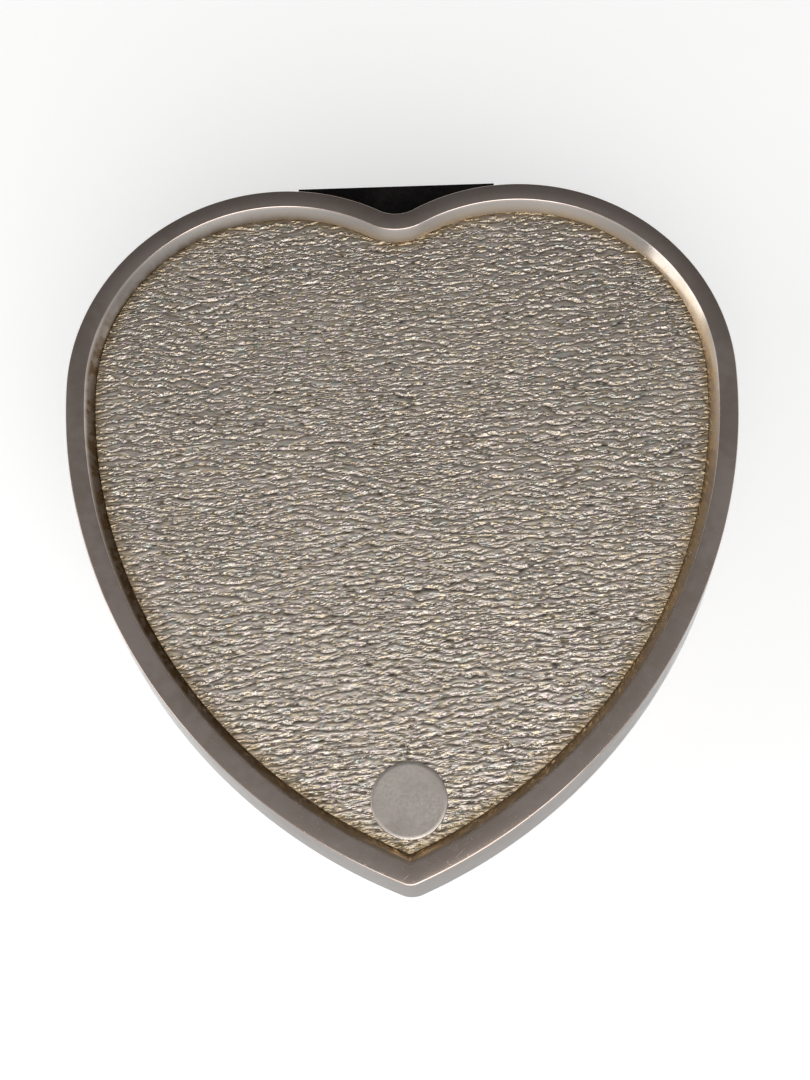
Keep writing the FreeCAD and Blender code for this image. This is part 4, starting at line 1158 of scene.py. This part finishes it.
# Stage: a plain pale floor under soft studio light, and the camera above the tip of the heart.
# The floor is lifted to white where it is seen or mirrored, and it keeps the shadow of the box.
# Overhead the light falls off from the front to the back, and low down it is brightest behind the box.
FLOOR_HALF = 8.0
FLOOR = (0.88, 0.88, 0.875, 1)
FLOOR_GLOW = (0.32, 0.32, 0.32, 1)
UNLIT = (0.0, 0.0, 0.0, 1)
FLOOR_ROUGH = 0.9
FLOOR_SHINE = 0.1
STAGE_DEPTH = 0.9
SKY_EDGES = (0.05, 0.42)
HORIZON = ((0.0, 0.45), (0.3, 0.6), (0.5, 0.9), (1.0, 0.9))
OVERHEAD = (
    (0.0, 0.95), (0.25, 0.55), (0.42, 0.32), (0.56, 0.28), (0.66, 0.26), (0.78, 0.14), (1.0, 0.06),
)
KEY_PLACE = (0.09, -0.42, 0.58)
KEY_SIZE = 0.62
KEY_POWER = 2.7
FILL_PLACE = (-0.55, -0.1, 0.3)
FILL_SIZE = 0.4
FILL_POWER = 0.85
CAMERA_PLACE = (0.0035, -0.0570, 0.2207)
CAMERA_AIM = (0.00024, -0.0060, 0.0449)
CAMERA_UP = (0.0212, 0.9998, 0.0)
CAMERA_LENS = 42.51
CAMERA_NEAR = 0.01


def pale_floor():
    material, tree, shader, _ = new_material("pale_floor")
    rays = tree.nodes.new("ShaderNodeLightPath").outputs
    mirrored = sums(tree, "MAXIMUM", rays["Is Glossy Ray"], rays["Is Transmission Ray"])
    seen = sums(tree, "MAXIMUM", rays["Is Camera Ray"], mirrored)
    tree.links.new(tinted(tree, seen, UNLIT, FLOOR_GLOW), shader.inputs["Emission Color"])
    shader.inputs["Emission Strength"].default_value = 1.0
    shader.inputs["Base Color"].default_value = FLOOR
    shader.inputs["Roughness"].default_value = FLOOR_ROUGH
    shader.inputs["Specular IOR Level"].default_value = FLOOR_SHINE
    return material


floor_corners = [(x * FLOOR_HALF, y * FLOOR_HALF, 0) for x, y in ((-1, -1), (1, -1), (1, 1), (-1, 1))]
floor = piece_from("floor", floor_corners, [(0, 1, 2, 3)])
floor.data.materials.append(pale_floor())

scene = bpy.context.scene
scene.view_settings.view_transform = "Standard"
world = bpy.data.worlds.new("studio")
world.use_nodes = True
sky = world.node_tree
way = sky.nodes.new("ShaderNodeTexCoord").outputs["Generated"]
part = add(sky, "ShaderNodeSeparateXYZ", {"Vector": way}).outputs
span = {"Value": part["Y"], "From Min": -STAGE_DEPTH, "From Max": STAGE_DEPTH}
depth = add(sky, "ShaderNodeMapRange", span).outputs[0]


def light_levels(stops):
    """Light that changes from the front of the stage to the back."""
    levels = add(sky, "ShaderNodeValToRGB", {"Fac": depth})
    for k, (place, level) in enumerate(stops):
        if k >= len(levels.color_ramp.elements):
            levels.color_ramp.elements.new(place)
        levels.color_ramp.elements[k].position = place
        levels.color_ramp.elements[k].color = (level, level, level, 1)
    return levels.outputs["Color"]


height = ramp(sky, part["Z"], *SKY_EDGES)
light = tinted(sky, height, light_levels(HORIZON), light_levels(OVERHEAD))
sky.links.new(light, sky.nodes["Background"].inputs["Color"])
scene.world = world


def soft_box(name, place, size, power):
    lamp = bpy.data.lights.new(name, "AREA")
    lamp.shape = "SQUARE"
    lamp.size = size
    lamp.energy = power
    box = bpy.data.objects.new(name, lamp)
    box.location = place
    box.rotation_euler = (-Vector(place)).to_track_quat("-Z", "Y").to_euler()
    scene.collection.objects.link(box)


soft_box("key_light", KEY_PLACE, KEY_SIZE, KEY_POWER)
soft_box("fill_light", FILL_PLACE, FILL_SIZE, FILL_POWER)

camera = bpy.data.objects.new("camera", bpy.data.cameras.new("camera"))
scene.collection.objects.link(camera)
camera.data.lens = CAMERA_LENS
camera.data.clip_start = CAMERA_NEAR
back = (Vector(CAMERA_PLACE) - Vector(CAMERA_AIM)).normalized()
right = Vector(CAMERA_UP).cross(back).normalized()
up = back.cross(right)
aim = Matrix((right, up, back)).transposed()
camera.matrix_world = Matrix.Translation(CAMERA_PLACE) @ aim.to_4x4()
scene.camera = camera
